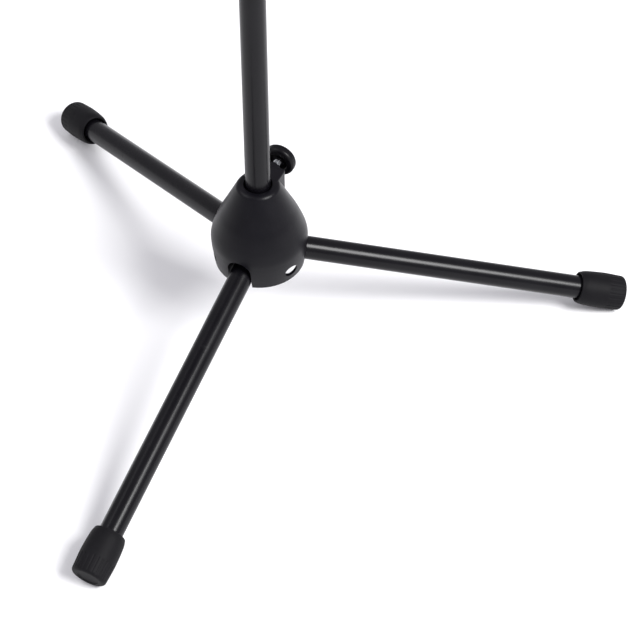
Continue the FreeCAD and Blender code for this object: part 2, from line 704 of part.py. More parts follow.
def tilt_knob():
    """The knob that pinches the ears on the head, with a collar towards the washer."""
    body = knob_disc()
    body.translate(V(0, 0, TILT_COLLAR))
    body = body.fuse(Part.makeCylinder(TILT_COLLAR_R, TILT_COLLAR + 1))
    body = body.cut(Part.makeCylinder(TILT_INSERT_R, TILT_BORE + 1, V(0, 0, -1)))
    body.rotate(V(0, 0, 0), Y_AXIS, -90)
    body.translate(V(tilt_knob_x(), 0, 0))
    return body


def tilt_insert():
    """The brass insert in the tilt knob."""
    start = tilt_knob_x()
    ring = rod(TILT_INSERT_R, V(start, 0, 0), V(start - TILT_INSERT_LENGTH, 0, 0))
    return ring.cut(rod(INSERT_BORE_R, V(10, 0, 0), V(-80, 0, 0)))


# ---- all nodes -----------------------------------------------------------
def all_nodes():
    """Every piece of the stand, by name."""
    nodes = {
        "hub_shell": hub_shell(),
        "hub_insert": insert(HUB_SCREW_Z, BOSS_COLLAR_Y),
        "hub_pad": pad(HUB_SCREW_Z, LOWER_R),
        "hub_screw": screw(HUB_SCREW_Z, LOWER_R, BOSS_COLLAR_Y),
        "hub_knob": knob(HUB_SCREW_Z, BOSS_COLLAR_Y),
        "lower_tube": tube(LOWER_R, LOWER_R - LOWER_WALL, LOWER_BOTTOM_Z, LOWER_TOP_Z),
        "lower_plug": lower_plug(),
        "height_collar": height_collar(),
        "height_insert": insert(HEIGHT_SCREW_Z, COLLAR_BOSS_Y),
        "height_pad": pad(HEIGHT_SCREW_Z, UPPER_R),
        "height_screw": screw(HEIGHT_SCREW_Z, UPPER_R, COLLAR_BOSS_Y),
        "height_knob": knob(HEIGHT_SCREW_Z, COLLAR_BOSS_Y),
        "guide_plug": guide_plug(),
        "upper_tube": tube(UPPER_R, UPPER_R - UPPER_WALL, UPPER_BOTTOM_Z, UPPER_TOP_Z),
        "tilt_head": tilt_head(),
        "tilt_washers": tilt_washers(),
        "tilt_bolt": on_desk(tilt_bolt()),
        "tilt_cup_washer": on_desk(cup_washer()),
        "tilt_knob": on_desk(tilt_knob()),
        "tilt_insert": on_desk(tilt_insert()),
        "desk_bracket": on_desk(desk_bracket()),
        "desk_plate": on_desk(desk_plate()),
        "desk_shelf": on_desk(desk_shelf()),
        "bracket_rivets": on_desk(bracket_rivets()),
    }
    for number, place in enumerate(shelf_rivet_places(), start=1):
        nodes[f"shelf_rivet_{number}"] = on_desk(rivet(*place, SHEET))
    for name, azimuth in LEG_AZIMUTHS.items():
        nodes[f"leg_tube_{name}"] = on_leg(leg_tube(), azimuth)
        nodes[f"leg_lug_{name}"] = on_leg(leg_lug(), azimuth)
        nodes[f"leg_pin_{name}"] = about_z(leg_pin(), azimuth)
        nodes[f"foot_{name}"] = on_leg(foot(), azimuth)
    return nodes


def main():
    """Builds every node and writes its STEP file."""
    os.makedirs("parts", exist_ok=True)
    for name, shape in all_nodes().items():
        shape.exportStep(f"parts/{name}.step")
        low = shape.BoundBox
        print(
            f"{name:20s} solids {len(shape.Solids)} valid {shape.isValid()} volume {shape.Volume:10.1f}"
            f"  z {low.ZMin:8.2f} {low.ZMax:8.2f}"
        )
    print(f"legs' axes meet at z {APEX_Z:.2f}, pins at z {PIN_Z:.2f}")


main()
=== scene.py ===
"""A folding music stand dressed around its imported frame: tripod hub, legs, column, clamps and desk."""

import json
import logging
import math
from dataclasses import dataclass, field
from enum import Enum
from typing import Callable, Iterable, Sequence

import bmesh
import bpy
from mathutils import Matrix, Quaternion, Vector


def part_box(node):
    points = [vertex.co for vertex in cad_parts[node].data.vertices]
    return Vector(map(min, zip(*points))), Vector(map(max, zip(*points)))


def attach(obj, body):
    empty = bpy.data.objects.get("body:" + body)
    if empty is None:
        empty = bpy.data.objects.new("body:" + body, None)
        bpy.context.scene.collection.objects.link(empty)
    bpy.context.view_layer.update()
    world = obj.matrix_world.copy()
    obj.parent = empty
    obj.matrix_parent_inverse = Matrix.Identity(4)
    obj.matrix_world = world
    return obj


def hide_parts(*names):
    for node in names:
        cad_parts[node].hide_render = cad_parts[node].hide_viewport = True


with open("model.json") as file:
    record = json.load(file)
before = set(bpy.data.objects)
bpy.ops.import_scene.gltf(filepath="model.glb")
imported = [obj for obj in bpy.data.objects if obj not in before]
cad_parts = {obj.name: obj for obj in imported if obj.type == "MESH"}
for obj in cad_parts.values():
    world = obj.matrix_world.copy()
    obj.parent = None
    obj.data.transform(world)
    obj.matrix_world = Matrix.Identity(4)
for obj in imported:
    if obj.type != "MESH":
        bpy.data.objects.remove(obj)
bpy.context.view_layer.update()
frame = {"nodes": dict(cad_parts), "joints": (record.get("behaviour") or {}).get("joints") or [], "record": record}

MM = 0.001
FULL_TURN = 2 * math.pi
WELD = 2e-6
LEG_AZIMUTHS = {"front": math.radians(270), "right": math.radians(30), "left": math.radians(150)}

log = logging.getLogger("music_stand")

Test = Callable[[Vector, Vector], bool]


class Slot(Enum):
    """The record's material slots, by the name that each piece takes its finish from."""

    MOULDED = "moulded_black"
    KNOB = "knob_black"
    NYLON = "nylon"
    TUBE_PAINT = "black_paint"
    DESK_PAINT = "desk_paint"
    RIVET = "rivet_black"
    RUBBER = "foot_rubber"
    ZINC = "zinc_steel"
    BRASS = "brass"


# ---- shader maths and finishes ------------------------------------------------
class Field:
    """A number that changes over a surface, with arithmetic that adds Math nodes."""

    def __init__(self, shop: "Shop", socket: bpy.types.NodeSocket) -> None:
        """Wraps a socket of a shop's node tree."""
        self.shop = shop
        self.socket = socket

    def _math(self, operation: str, first: object, second: object) -> "Field":
        """Adds one Math node.

        Args:
            operation: The node's operation.
            first: A number or a field for its first socket.
            second: A number or a field for its second socket.

        Returns:
            The node's result.
        """
        node = self.shop.add("ShaderNodeMath", {"operation": operation}, {0: first, 1: second})
        return Field(self.shop, node.outputs[0])

    def __add__(self, other: object) -> "Field":
        """This plus another."""
        return self._math("ADD", self, other)

    def __radd__(self, other: object) -> "Field":
        """Another plus this."""
        return self._math("ADD", other, self)

    def __sub__(self, other: object) -> "Field":
        """This less another."""
        return self._math("SUBTRACT", self, other)

    def __rsub__(self, other: object) -> "Field":
        """Another less this."""
        return self._math("SUBTRACT", other, self)

    def __mul__(self, other: object) -> "Field":
        """This times another."""
        return self._math("MULTIPLY", self, other)

    def __rmul__(self, other: object) -> "Field":
        """Another times this."""
        return self._math("MULTIPLY", other, self)

    def above(self, low: float, high: float) -> "Field":
        """A mask that rises from 0 at a low value to 1 at a high one.

        Args:
            low: The value where the mask leaves 0.
            high: The value where it reaches 1.

        Returns:
            The mask.
        """
        node = self.shop.add(
            "ShaderNodeMapRange",
            {"interpolation_type": "SMOOTHSTEP"},
            {"Value": self, "From Min": low, "From Max": high},
        )
        return Field(self.shop, node.outputs[0])


class Shop:
    """A new material's node tree and the one way of adding nodes to it."""

    def __init__(self, name: str) -> None:
        """Starts a material with its Principled shader and object coordinates."""
        self.material = bpy.data.materials.new(name)
        self.material.use_nodes = True
        self.tree = self.material.node_tree
        self.shader = self.tree.nodes["Principled BSDF"]
        self.place = self.add("ShaderNodeTexCoord", {}, {}).outputs["Object"]

    def add(self, kind: str, settings: dict, sockets: dict) -> bpy.types.Node:
        """Adds a node.

        Args:
            kind: The node's type.
            settings: Its properties, set before its sockets.
            sockets: Values, links or fields for its inputs, by name or number.

        Returns:
            The new node.
        """
        node = self.tree.nodes.new(kind)
        for name, value in settings.items():
            setattr(node, name, value)
        for name, value in sockets.items():
            self.feed(node.inputs[name], value)
        return node

    def feed(self, target: bpy.types.NodeSocket, value: object) -> None:
        """Gives an input a value, a socket or a field."""
        if isinstance(value, Field):
            value = value.socket
        if isinstance(value, bpy.types.NodeSocket):
            self.tree.links.new(value, target)
        else:
            target.default_value = value

    def noise(self, grain: float, detail: float = 3.0, stretch: Sequence[float] = (1, 1, 1)) -> Field:
        """Noise whose features have a given size.

        Args:
            grain: The size of a feature, in metres.
            detail: How many finer layers it has.
            stretch: How much finer the pattern is along each axis.

        Returns:
            The noise, about 0.5 in the middle.
        """
        scale = [s / grain for s in stretch]
        spread = self.add("ShaderNodeMapping", {}, {"Vector": self.place, "Scale": scale})
        node = self.add(
            "ShaderNodeTexNoise",
            {"noise_dimensions": "3D"},
            {"Vector": spread.outputs[0], "Scale": 1.0, "Detail": detail, "Roughness": 0.55},
        )
        return Field(self, node.outputs[0])

    def mix(self, mask: Field, first: Sequence[float], second: Sequence[float]) -> bpy.types.NodeSocket:
        """A colour between two others.

        Args:
            mask: 0 for the first colour, 1 for the second.
            first: The first colour.
            second: The second colour.

        Returns:
            The mixed colour's socket.
        """
        node = self.add(
            "ShaderNodeMix", {"data_type": "RGBA"}, {"Factor": mask, "A": (*first, 1), "B": (*second, 1)}
        )
        return node.outputs["Result"]

    def bump(self, height: Field, depth: float, strength: float = 1.0) -> None:
        """Raises the surface by a height field.

        Args:
            height: The field, 0 for low and 1 for high.
            depth: How far high stands above low, in metres.
            strength: How much of it shows.
        """
        node = self.add("ShaderNodeBump", {}, {"Height": height, "Distance": depth, "Strength": strength})
        self.feed(self.shader.inputs["Normal"], node.outputs["Normal"])


@dataclass(frozen=True)
class Finish:
    """A finish: its colour, its gloss and the texture that gives it scale."""

    slot: Slot
    colour: tuple[float, float, float]
    worn: tuple[float, float, float]
    roughness: float
    spread: float
    grain: float
    grain_depth: float
    metallic: float = 0.0
    specular: float = 0.5
    cloud: float = 28 * MM
    scuffs: float = 0.0

    def material(self) -> bpy.types.Material:
        """The finish as a material, made once."""
        name = f"finish_{self.slot.value}"
        found = bpy.data.materials.get(name)
        return found if found else self._make(name)

    def _make(self, name: str) -> bpy.types.Material:
        """Builds the material's nodes.

        Args:
            name: The material's name.

        Returns:
            The new material.
        """
        shop = Shop(name)
        cloud = shop.noise(self.cloud, 4.0)
        grain = shop.noise(self.grain, 2.0)
        speck = shop.noise(self.grain * 6, 3.0).above(0.60, 0.74)
        marks = shop.noise(9 * MM, 5.0).above(0.60, 0.70)
        patches = shop.noise(60 * MM, 1.0).above(0.48, 0.62)
        scuff = marks * patches
        wear = cloud.above(0.35, 0.75) * 0.45 + speck * 0.25 + scuff * self.scuffs
        shop.feed(shop.shader.inputs["Base Color"], shop.mix(wear, self.colour, self.worn))
        rough = self.roughness + (cloud - 0.5) * self.spread + (grain - 0.5) * self.spread * 0.6
        shop.feed(shop.shader.inputs["Roughness"], rough + scuff * (0.25 * self.scuffs))
        shop.shader.inputs["Metallic"].default_value = self.metallic
        shop.shader.inputs["Specular IOR Level"].default_value = self.specular
        shop.bump(grain * 0.7 + speck * 0.3, self.grain_depth)
        return shop.material


FINISHES = {
    finish.slot: finish
    for finish in (
        Finish(
            Slot.MOULDED,
            colour=(0.0028, 0.0026, 0.0042),
            worn=(0.0060, 0.0056, 0.0078),
            roughness=0.33,
            spread=0.14,
            grain=0.90 * MM,
            grain_depth=0.085 * MM,
            specular=0.15,
        ),
        Finish(
            Slot.KNOB,
            colour=(0.0022, 0.0020, 0.0030),
            worn=(0.0052, 0.0048, 0.0062),
            roughness=0.38,
            spread=0.12,
            grain=0.50 * MM,
            grain_depth=0.022 * MM,
            specular=0.17,
        ),
        Finish(
            Slot.NYLON,
            colour=(0.0110, 0.0105, 0.0125),
            worn=(0.0200, 0.0195, 0.0220),
            roughness=0.50,
            spread=0.12,
            grain=0.70 * MM,
            grain_depth=0.020 * MM,
            specular=0.30,
        ),
        Finish(
            Slot.TUBE_PAINT,
            colour=(0.0030, 0.0028, 0.0040),
            worn=(0.0058, 0.0054, 0.0070),
            roughness=0.25,
            spread=0.07,
            grain=1.30 * MM,
            grain_depth=0.010 * MM,
            specular=0.175,
            scuffs=0.25,
        ),
        Finish(
            Slot.DESK_PAINT,
            colour=(0.0038, 0.0036, 0.0048),
            worn=(0.0078, 0.0074, 0.0092),
            roughness=0.42,
            spread=0.14,
            grain=0.55 * MM,
            grain_depth=0.055 * MM,
            specular=0.22,
            scuffs=0.3,
        ),
        Finish(
            Slot.RIVET,
            colour=(0.0060, 0.0058, 0.0068),
            worn=(0.0220, 0.0215, 0.0230),
            roughness=0.34,
            spread=0.12,
            grain=0.80 * MM,
            grain_depth=0.012 * MM,
            specular=0.35,
        ),
        Finish(
            Slot.RUBBER,
            colour=(0.0030, 0.0028, 0.0038),
            worn=(0.0090, 0.0084, 0.0104),
            roughness=0.62,
            spread=0.16,
            grain=0.70 * MM,
            grain_depth=0.060 * MM,
            specular=0.13,
            scuffs=0.6,
        ),
        Finish(
            Slot.ZINC,
            colour=(0.62, 0.63, 0.65),
            worn=(0.48, 0.49, 0.52),
            roughness=0.27,
            spread=0.16,
            grain=0.50 * MM,
            grain_depth=0.006 * MM,
            metallic=1.0,
        ),
        Finish(
            Slot.BRASS,
            colour=(0.74, 0.55, 0.25),
            worn=(0.52, 0.37, 0.16),
            roughness=0.30,
            spread=0.16,
            grain=0.50 * MM,
            grain_depth=0.006 * MM,
            metallic=1.0,
        ),
    )
}


# ---- modelling ----------------------------------------------------------------
def clear_bench() -> None:
    """Leaves edit mode and deselects every object."""
    if bpy.context.mode != "OBJECT":
        bpy.ops.object.mode_set(mode="OBJECT")
    bpy.ops.object.select_all(action="DESELECT")


class Outline:
    """An outline of (across, along) points in the XZ plane, drawn from point to point."""

    def __init__(self, across: float, along: float) -> None:
        """Starts the outline."""
        self.points = [Vector((across, 0, along))]

    def to(self, across: float, along: float) -> "Outline":
        """Draws a straight line to a point."""
        self.points.append(Vector((across, 0, along)))
        return self

    def arc(
        self, centre: tuple[float, float], radius: float, start: float, end: float, steps: int = 6
    ) -> "Outline":
        """Draws an arc.

        Args:
            centre: Its centre.
            radius: Its radius.
            start: The angle it starts at, in degrees from the across direction.
            end: The angle it ends at.
            steps: How many chords it has.

        Returns:
            The outline.
        """
        for step in range(steps + 1):
            turn = math.radians(start + (end - start) * step / steps)
            self.to(centre[0] + radius * math.cos(turn), centre[1] + radius * math.sin(turn))
        return self

    def through(self, knots: Sequence[tuple[float, float]], steps: int = 5) -> "Outline":
        """Draws a smooth curve through points, starting from the last point drawn.

        Args:
            knots: The points.
            steps: How many chords lie between two of them.

        Returns:
            The outline.
        """
        path = [self.points[-1]] + [Vector((a, 0, b)) for a, b in knots]
        ends = [2 * path[0] - path[1]] + path + [2 * path[-1] - path[-2]]
        for before, start, end, after in zip(ends, ends[1:], ends[2:], ends[3:]):
            for step in range(1, steps + 1):
                t = step / steps
                leaving = (end - before) * 0.5 * (t - 2 * t * t + t ** 3)
                arriving = (after - start) * 0.5 * (t ** 3 - t * t)
                blend = 3 * t * t - 2 * t ** 3
                self.points.append(start * (1 - blend) + end * blend + (leaving + arriving))
        return self

    def close(self) -> "Outline":
        """Draws a line back to the start."""
        self.points.append(self.points[0].copy())
        return self


class Blank:
    """A mesh on the bench, shaped with operators until it is a piece."""

    def __init__(self, name: str) -> None:
        """Takes the object that an operator has just made."""
        self.obj = bpy.context.object
        self.obj.name = name
        self.obj.data.name = name

    # -- starting shapes
    @classmethod
    def traced(cls, name: str, outline: Outline) -> "Blank":
        """A chain of edges, extruded from point to point along an outline.

        Args:
            name: The blank's name.
            outline: The outline.

        Returns:
            The blank, still a line.
        """
        clear_bench()
        bpy.ops.mesh.primitive_plane_add(size=MM)
        blank = cls(name)
        bpy.ops.object.mode_set(mode="EDIT")
        bpy.ops.mesh.select_mode(type="VERT")
        bpy.ops.mesh.select_all(action="SELECT")
        bpy.ops.mesh.merge(type="CENTER")
        bpy.ops.transform.translate(value=outline.points[0])
        for start, end in zip(outline.points, outline.points[1:]):
            if (end - start).length > WELD:
                bpy.ops.mesh.extrude_region_move(TRANSFORM_OT_translate={"value": end - start})
        bpy.ops.mesh.select_all(action="SELECT")
        bpy.ops.mesh.remove_doubles(threshold=WELD)
        return blank

    @classmethod
    def turned(cls, name: str, outline: Outline, steps: int = 96) -> "Blank":
        """A piece turned about Z from an outline.

        Args:
            name: The blank's name.
            outline: A closed outline, or one that starts and ends on the axis.
            steps: How many facets it has around.

        Returns:
            The blank, closed and facing outwards.
        """
        blank = cls.traced(name, outline)
        bpy.ops.mesh.spin(steps=steps, angle=FULL_TURN, center=(0, 0, 0), axis=(0, 0, 1))
        blank.weld()
        return blank

    @classmethod
    def rod(cls, name: str, radius: float, start: Vector, end: Vector, facets: int = 48) -> "Blank":
        """A round rod between two points.

        Args:
            name: The blank's name.
            radius: Its radius.
            start: One end's centre.
            end: The other end's centre.
            facets: How many facets it has around.

        Returns:
            The blank.
        """
        clear_bench()
        run = Vector(end) - Vector(start)
        bpy.ops.mesh.primitive_cylinder_add(vertices=facets, radius=radius, depth=run.length)
        blank = cls(name)
        return blank.place(Matrix.Translation((Vector(start) + Vector(end)) / 2) @ pointing(run))

    @classmethod
    def block(cls, name: str, low: Sequence[float], high: Sequence[float]) -> "Blank":
        """A block from its two corners.

        Args:
            name: The blank's name.
            low: The lowest corner.
            high: The highest corner.

        Returns:
            The blank.
        """
        clear_bench()
        low, high = Vector(low), Vector(high)
        bpy.ops.mesh.primitive_cube_add(size=1, location=(low + high) / 2, scale=high - low)
        blank = cls(name)
        bpy.ops.object.transform_apply(location=True, rotation=True, scale=True)
        return blank

    # -- edit-mode work
    def edit(self, mode: str = "FACE") -> bmesh.types.BMesh:
        """Opens the blank in edit mode with nothing selected.

        Args:
            mode: VERT, EDGE or FACE.

        Returns:
            Its edit mesh.
        """
        clear_bench()
        self.obj.select_set(True)
        bpy.context.view_layer.objects.active = self.obj
        bpy.ops.object.mode_set(mode="EDIT")
        bpy.ops.mesh.select_mode(type=mode)
        bpy.ops.mesh.select_all(action="DESELECT")
        return bmesh.from_edit_mesh(self.obj.data)

    def pick_faces(self, test: Test) -> int:
        """Selects the faces whose middle and normal pass a test, and returns their number."""
        mesh = self.edit("FACE")
        for face in mesh.faces:
            face.select_set(test(face.calc_center_median(), face.normal))
        bmesh.update_edit_mesh(self.obj.data)
        return sum(face.select for face in mesh.faces)

    def pick_edges(self, test: Test) -> int:
        """Selects the edges whose middle and direction pass a test, and returns their number."""
        mesh = self.edit("EDGE")
        for edge in mesh.edges:
            start, end = (vert.co for vert in edge.verts)
            edge.select_set(test((start + end) / 2, (end - start).normalized()))
        bmesh.update_edit_mesh(self.obj.data)
        return sum(edge.select for edge in mesh.edges)

    def pick_sharp(self, test: Test, least: float = 30.0) -> int:
        """Selects the sharp edges whose middle and direction pass a test.

        Args:
            test: The test.
            least: The least angle between an edge's two faces, in degrees.

        Returns:
            How many edges are selected.
        """
        mesh = self.edit("EDGE")
        for edge in mesh.edges:
            start, end = (vert.co for vert in edge.verts)
            sharp = len(edge.link_faces) == 2 and edge.calc_face_angle(0.0) > math.radians(least)
            edge.select_set(sharp and test((start + end) / 2, (end - start).normalized()))
        bmesh.update_edit_mesh(self.obj.data)
        return sum(edge.select for edge in mesh.edges)

    def bevel(self, width: float, segments: int = 3) -> "Blank":
        """Rounds the selected edges off, and returns the blank."""
        bpy.ops.mesh.bevel(offset=width, segments=segments, profile=0.5, affect="EDGES", clamp_overlap=True)
        return self

    def sink(self, depth: float, margin: float = 0.0) -> "Blank":
        """Insets the selected faces and sinks them.

        Args:
            depth: How deep they sink.
            margin: How far they draw in first.

        Returns:
            The blank.
        """
        if margin:
            bpy.ops.mesh.inset(thickness=margin)
        bpy.ops.mesh.extrude_region_shrink_fatten(TRANSFORM_OT_shrink_fatten={"value": -depth})
        return self

    def weld(self) -> "Blank":
        """Merges doubles, turns every face outwards and leaves edit mode."""
        if bpy.context.mode == "OBJECT":
            self.edit("VERT")
        bpy.ops.mesh.select_all(action="SELECT")
        bpy.ops.mesh.remove_doubles(threshold=WELD)
        bpy.ops.mesh.normals_make_consistent(inside=False)
        bpy.ops.object.mode_set(mode="OBJECT")
        return self

    def fill_ends(self) -> "Blank":
        """Closes every open end with a face."""
        self.edit("EDGE")
        bpy.ops.mesh.select_non_manifold(extend=False)
        bpy.ops.mesh.edge_face_add()
        return self.weld()

    # -- whole-piece work
    def place(self, matrix: Matrix) -> "Blank":
        """Moves the blank's mesh by a matrix and leaves its object at the origin."""
        clear_bench()
        self.obj.select_set(True)
        bpy.context.view_layer.objects.active = self.obj
        self.obj.matrix_world = matrix @ self.obj.matrix_world
        bpy.ops.object.transform_apply(location=True, rotation=True, scale=True)
        return self

    def apply(self, kind: str, **settings: object) -> "Blank":
        """Adds a modifier and applies it.

        Args:
            kind: The modifier's type.
            settings: Its properties.

        Returns:
            The blank.
        """
        clear_bench()
        self.obj.select_set(True)
        bpy.context.view_layer.objects.active = self.obj
        modifier = self.obj.modifiers.new(kind.lower(), kind)
        for name, value in settings.items():
            setattr(modifier, name, value)
        bpy.ops.object.modifier_apply(modifier=modifier.name)
        return self

    def combine(self, operation: str, tools: Iterable["Blank"]) -> "Blank":
        """Cuts, joins or keeps what is common with other blanks, which are used up.

        Args:
            operation: DIFFERENCE, UNION or INTERSECT.
            tools: The other blanks.

        Returns:
            The blank.
        """
        for tool in tools:
            self.apply("BOOLEAN", operation=operation, solver="EXACT", object=tool.obj)
            bpy.data.objects.remove(tool.obj)
        return self

    def cut(self, *tools: "Blank") -> "Blank":
        """Takes tools away from the blank."""
        return self.combine("DIFFERENCE", tools)

    def fuse(self, *tools: "Blank") -> "Blank":
        """Adds other blanks to this one."""
        return self.combine("UNION", tools)

    def twin(self, name: str, matrix: Matrix) -> "Blank":
        """A copy with its own mesh, moved by a matrix.

        Args:
            name: The copy's name.
            matrix: Where it goes.

        Returns:
            The copy.
        """
        clear_bench()
        copy = self.obj.copy()
        copy.data = self.obj.data.copy()
        bpy.context.scene.collection.objects.link(copy)
        copy.select_set(True)
        bpy.context.view_layer.objects.active = copy
        return Blank(name).place(matrix)

    def join(self, *others: "Blank") -> "Blank":
        """Takes other blanks into this one as loose parts."""
        clear_bench()
        for other in others:
            other.obj.select_set(True)
        self.obj.select_set(True)
        bpy.context.view_layer.objects.active = self.obj
        bpy.ops.object.join()
        return self

    def install(self, body: str, slot: Slot, *nodes: str, smooth: float = 32.0) -> "Blank":
        """Shades the finished piece, gives it its finish and sets it on its body.

        Args:
            body: The body it rides on.
            slot: The slot it takes its finish from.
            nodes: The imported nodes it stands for.
            smooth: The largest angle that is shaded smooth, in degrees.

        Returns:
            The blank.
        """
        clear_bench()
        self.obj.select_set(True)
        bpy.context.view_layer.objects.active = self.obj
        bpy.ops.object.shade_smooth_by_angle(angle=math.radians(smooth))
        self.apply("WEIGHTED_NORMAL", mode="FACE_AREA", weight=90, keep_sharp=True)
        self.obj.data.materials.clear()
        self.obj.data.materials.append(FINISHES[slot].material())
        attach(self.obj, body)
        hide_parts(*nodes)
        log.info("%s: %d faces on %s", self.obj.name, len(self.obj.data.polygons), body)
        return self


def pointing(direction: Vector) -> Matrix:
    """The turn that points +Z along a direction."""
    return Vector(direction).to_track_quat("Z", "Y").to_matrix().to_4x4()


def about_z(azimuth: float) -> Matrix:
    """The turn about the column by an azimuth in radians."""
    return Matrix.Rotation(azimuth, 4, "Z")


def centre_of(node: str) -> Vector:
    """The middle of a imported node's box."""
    low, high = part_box(node)
    return (low + high) / 2


def dress(*nodes: str) -> None:
    """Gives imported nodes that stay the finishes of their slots."""
    slots = {part["node"]: part["material_slot"] for part in frame["record"]["subparts"]}
    for node in nodes:
        finish = FINISHES[Slot(slots[node])].material()
        for material_slot in frame["nodes"][node].material_slots:
            material_slot.material = finish
        log.info("%s: kept, finished as %s", node, slots[node])


# ---- hub ----------------------------------------------------------------------
@dataclass
class Hub:
    """The moulded bell that carries the legs, the column and its thumb screw."""

    bottom_radius: float = 36.2 * MM
    belly_radius: float = 38.8 * MM
    belly_height: float = 27.2 * MM
    shoulder_radius: float = 31.5 * MM
    shoulder_height: float = 48.7 * MM
    rim_radius: float = 16.3 * MM
    rim_round: float = 4.8 * MM
    rim_steps: int = 8
    wall: float = 2.5 * MM
    roof_height: float = 70.0 * MM
    sleeve_radius: float = 13.1 * MM
    bore_radius: float = 10.08 * MM
    mouth_radius: float = 11.0 * MM
    mouth_depth: float = 16.0 * MM
    slot_half: float = 10.0 * MM
    slot_height: float = 26.5 * MM
    cheek: float = 2.8 * MM
    cheek_height: float = 34.0 * MM
    access_radius: float = 5.0 * MM
    pin_radius: float = 2.5 * MM
    boss_half: float = 12.6 * MM
    boss_face: float = 24.0 * MM
    boss_bottom: float = 56.0 * MM
    collar_radius: float = 6.2 * MM
    collar_face: float = 28.5 * MM
    screw_radius: float = 3.3 * MM
    screw_reach: float = 40.0 * MM
    mouth_round: float = 0.9 * MM
    bore_run_out: float = 5.0 * MM
    access_reach: float = 60.0 * MM
    seat_reach: float = 24.0 * MM
    stop_near: float = 24.0 * MM
    stop_far: float = 30.0 * MM
    azimuths: dict[str, float] = field(default_factory=lambda: dict(LEG_AZIMUTHS))

    def __post_init__(self) -> None:
        """Reads the hub's place from the frame."""
        self.top_points = self.rim_steps + 2
        low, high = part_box("hub_shell")
        self.low = low.z
        self.height = high.z - low.z
        self.pin = centre_of("leg_pin_front")

    def outer(self, inset: float, top: float, low: float) -> Outline:
        """The bell's outside from the axis at its top down to its bottom edge.

        Args:
            inset: How far the outline lies inside the bell's skin.
            top: Its top's height above the bottom edge.
            low: Its lowest height above the bottom edge.

        Returns:
            The outline, open at its lower end.
        """
        slope = (self.shoulder_radius - self.rim_radius) / (self.height - self.shoulder_height)
        top_radius = self.rim_radius + (self.height - top) * slope - inset
        turn = math.degrees(math.atan(1 / slope))
        reach = self.rim_round * math.tan(math.radians(turn) / 2)
        outline = Outline(0, top)
        outline.arc((top_radius - reach, top - self.rim_round), self.rim_round, 90, 90 - turn, self.rim_steps)
        shoulder, rise = self.shoulder_radius - inset, 7 * MM
        outline.to(shoulder - rise * slope, self.shoulder_height + rise)
        belly, height = self.belly_radius - inset, self.belly_height
        outline.through(
            [
                (shoulder, self.shoulder_height),
                (belly - 4.0 * MM, height + 13.4 * MM),
                (belly - 1.35 * MM, height + 6.0 * MM),
                (belly - 0.1 * MM, height),
                (belly - 0.2 * MM, height - 6.0 * MM),
                (belly - 0.8 * MM, height - 13.0 * MM),
                (belly - 1.6 * MM, height - 20.0 * MM),
            ],
            steps=6,
        )
        return outline.to(self.bottom_radius - inset, low)

    def shell_blank(self) -> Blank:
        """The bell with its hollow and its sleeve, still without its openings."""
        outline = self.outer(0.0, self.height, 0.5 * MM)
        edge = self.bottom_radius - 0.5 * MM
        outline.arc((edge, 0.5 * MM), 0.5 * MM, 0, -90, 4)
        outline.arc((self.bottom_radius - self.wall + 0.5 * MM, 0.5 * MM), 0.5 * MM, -90, -180, 4)
        inner = self.outer(self.wall, self.roof_height, 1.0 * MM).points
        outline.points += [point.copy() for point in reversed(inner[self.top_points :])]
        outline.to(inner[1].x, self.roof_height).to(self.sleeve_radius, self.roof_height)
        outline.to(self.sleeve_radius, 1.5 * MM).to(self.sleeve_radius - 0.5 * MM, 1.0 * MM).to(0, 1.0 * MM)
        return Blank.turned("hub_shell_moulded", outline, 144)

    def boss(self) -> Blank:
        """The block behind the neck that carries the thumb screw, with rounded edges."""
        half, face = self.boss_half, self.boss_face
        block = Blank.block("boss", (-half, 0, self.boss_bottom), (half, face, self.height))
        block.pick_edges(lambda p, d: abs(d.z) > 0.9 and p.y > face - MM)
        block.bevel(2.6 * MM, 6)
        block.pick_sharp(lambda p, d: p.z > self.height - 0.1 * MM and p.y > MM)
        block.bevel(1.6 * MM, 5)
        return block.weld()

    def cheeks(self, azimuth: float) -> list[Blank]:
        """The two webs beside a leg, from the sleeve to the skin.

        Args:
            azimuth: The leg's direction.

        Returns:
            The two webs.
        """
        webs = []
        for side in (-1, 1):
            across = sorted((side * self.slot_half, side * (self.slot_half + self.cheek)))
            web = Blank.block(
                "cheek",
                (self.sleeve_radius - 2 * MM, across[0], 1.5 * MM),
                (self.belly_radius, across[1], self.cheek_height),
            )
            inside = self.outer(self.wall / 2, self.roof_height, 1.2 * MM).to(0, 1.2 * MM)
            web.combine("INTERSECT", [Blank.turned("inside", inside, 48)])
            webs.append(web.place(about_z(azimuth)))
        return webs

    def tunnel(self, azimuth: float) -> Blank:
        """The arched way through the skirt for one leg.

        Args:
            azimuth: The leg's direction.

        Returns:
            The way, as a tool.
        """
        half, start = self.slot_half, self.sleeve_radius + 0.15 * MM
        spring = self.slot_height - half
        outline = Outline(-half, -4 * MM).to(half, -4 * MM).arc((0, spring), half, 0, 180, 24).close()
        arch = Blank.traced("tunnel", outline)
        bpy.ops.mesh.edge_face_add()
        reach = 60 * MM
        bpy.ops.mesh.extrude_region_move(TRANSFORM_OT_translate={"value": (0, reach, 0)})
        arch.weld()
        turned = Matrix.Rotation(math.radians(-90), 4, "Z")
        return arch.place(about_z(azimuth) @ Matrix.Translation((start, 0, 0)) @ turned)

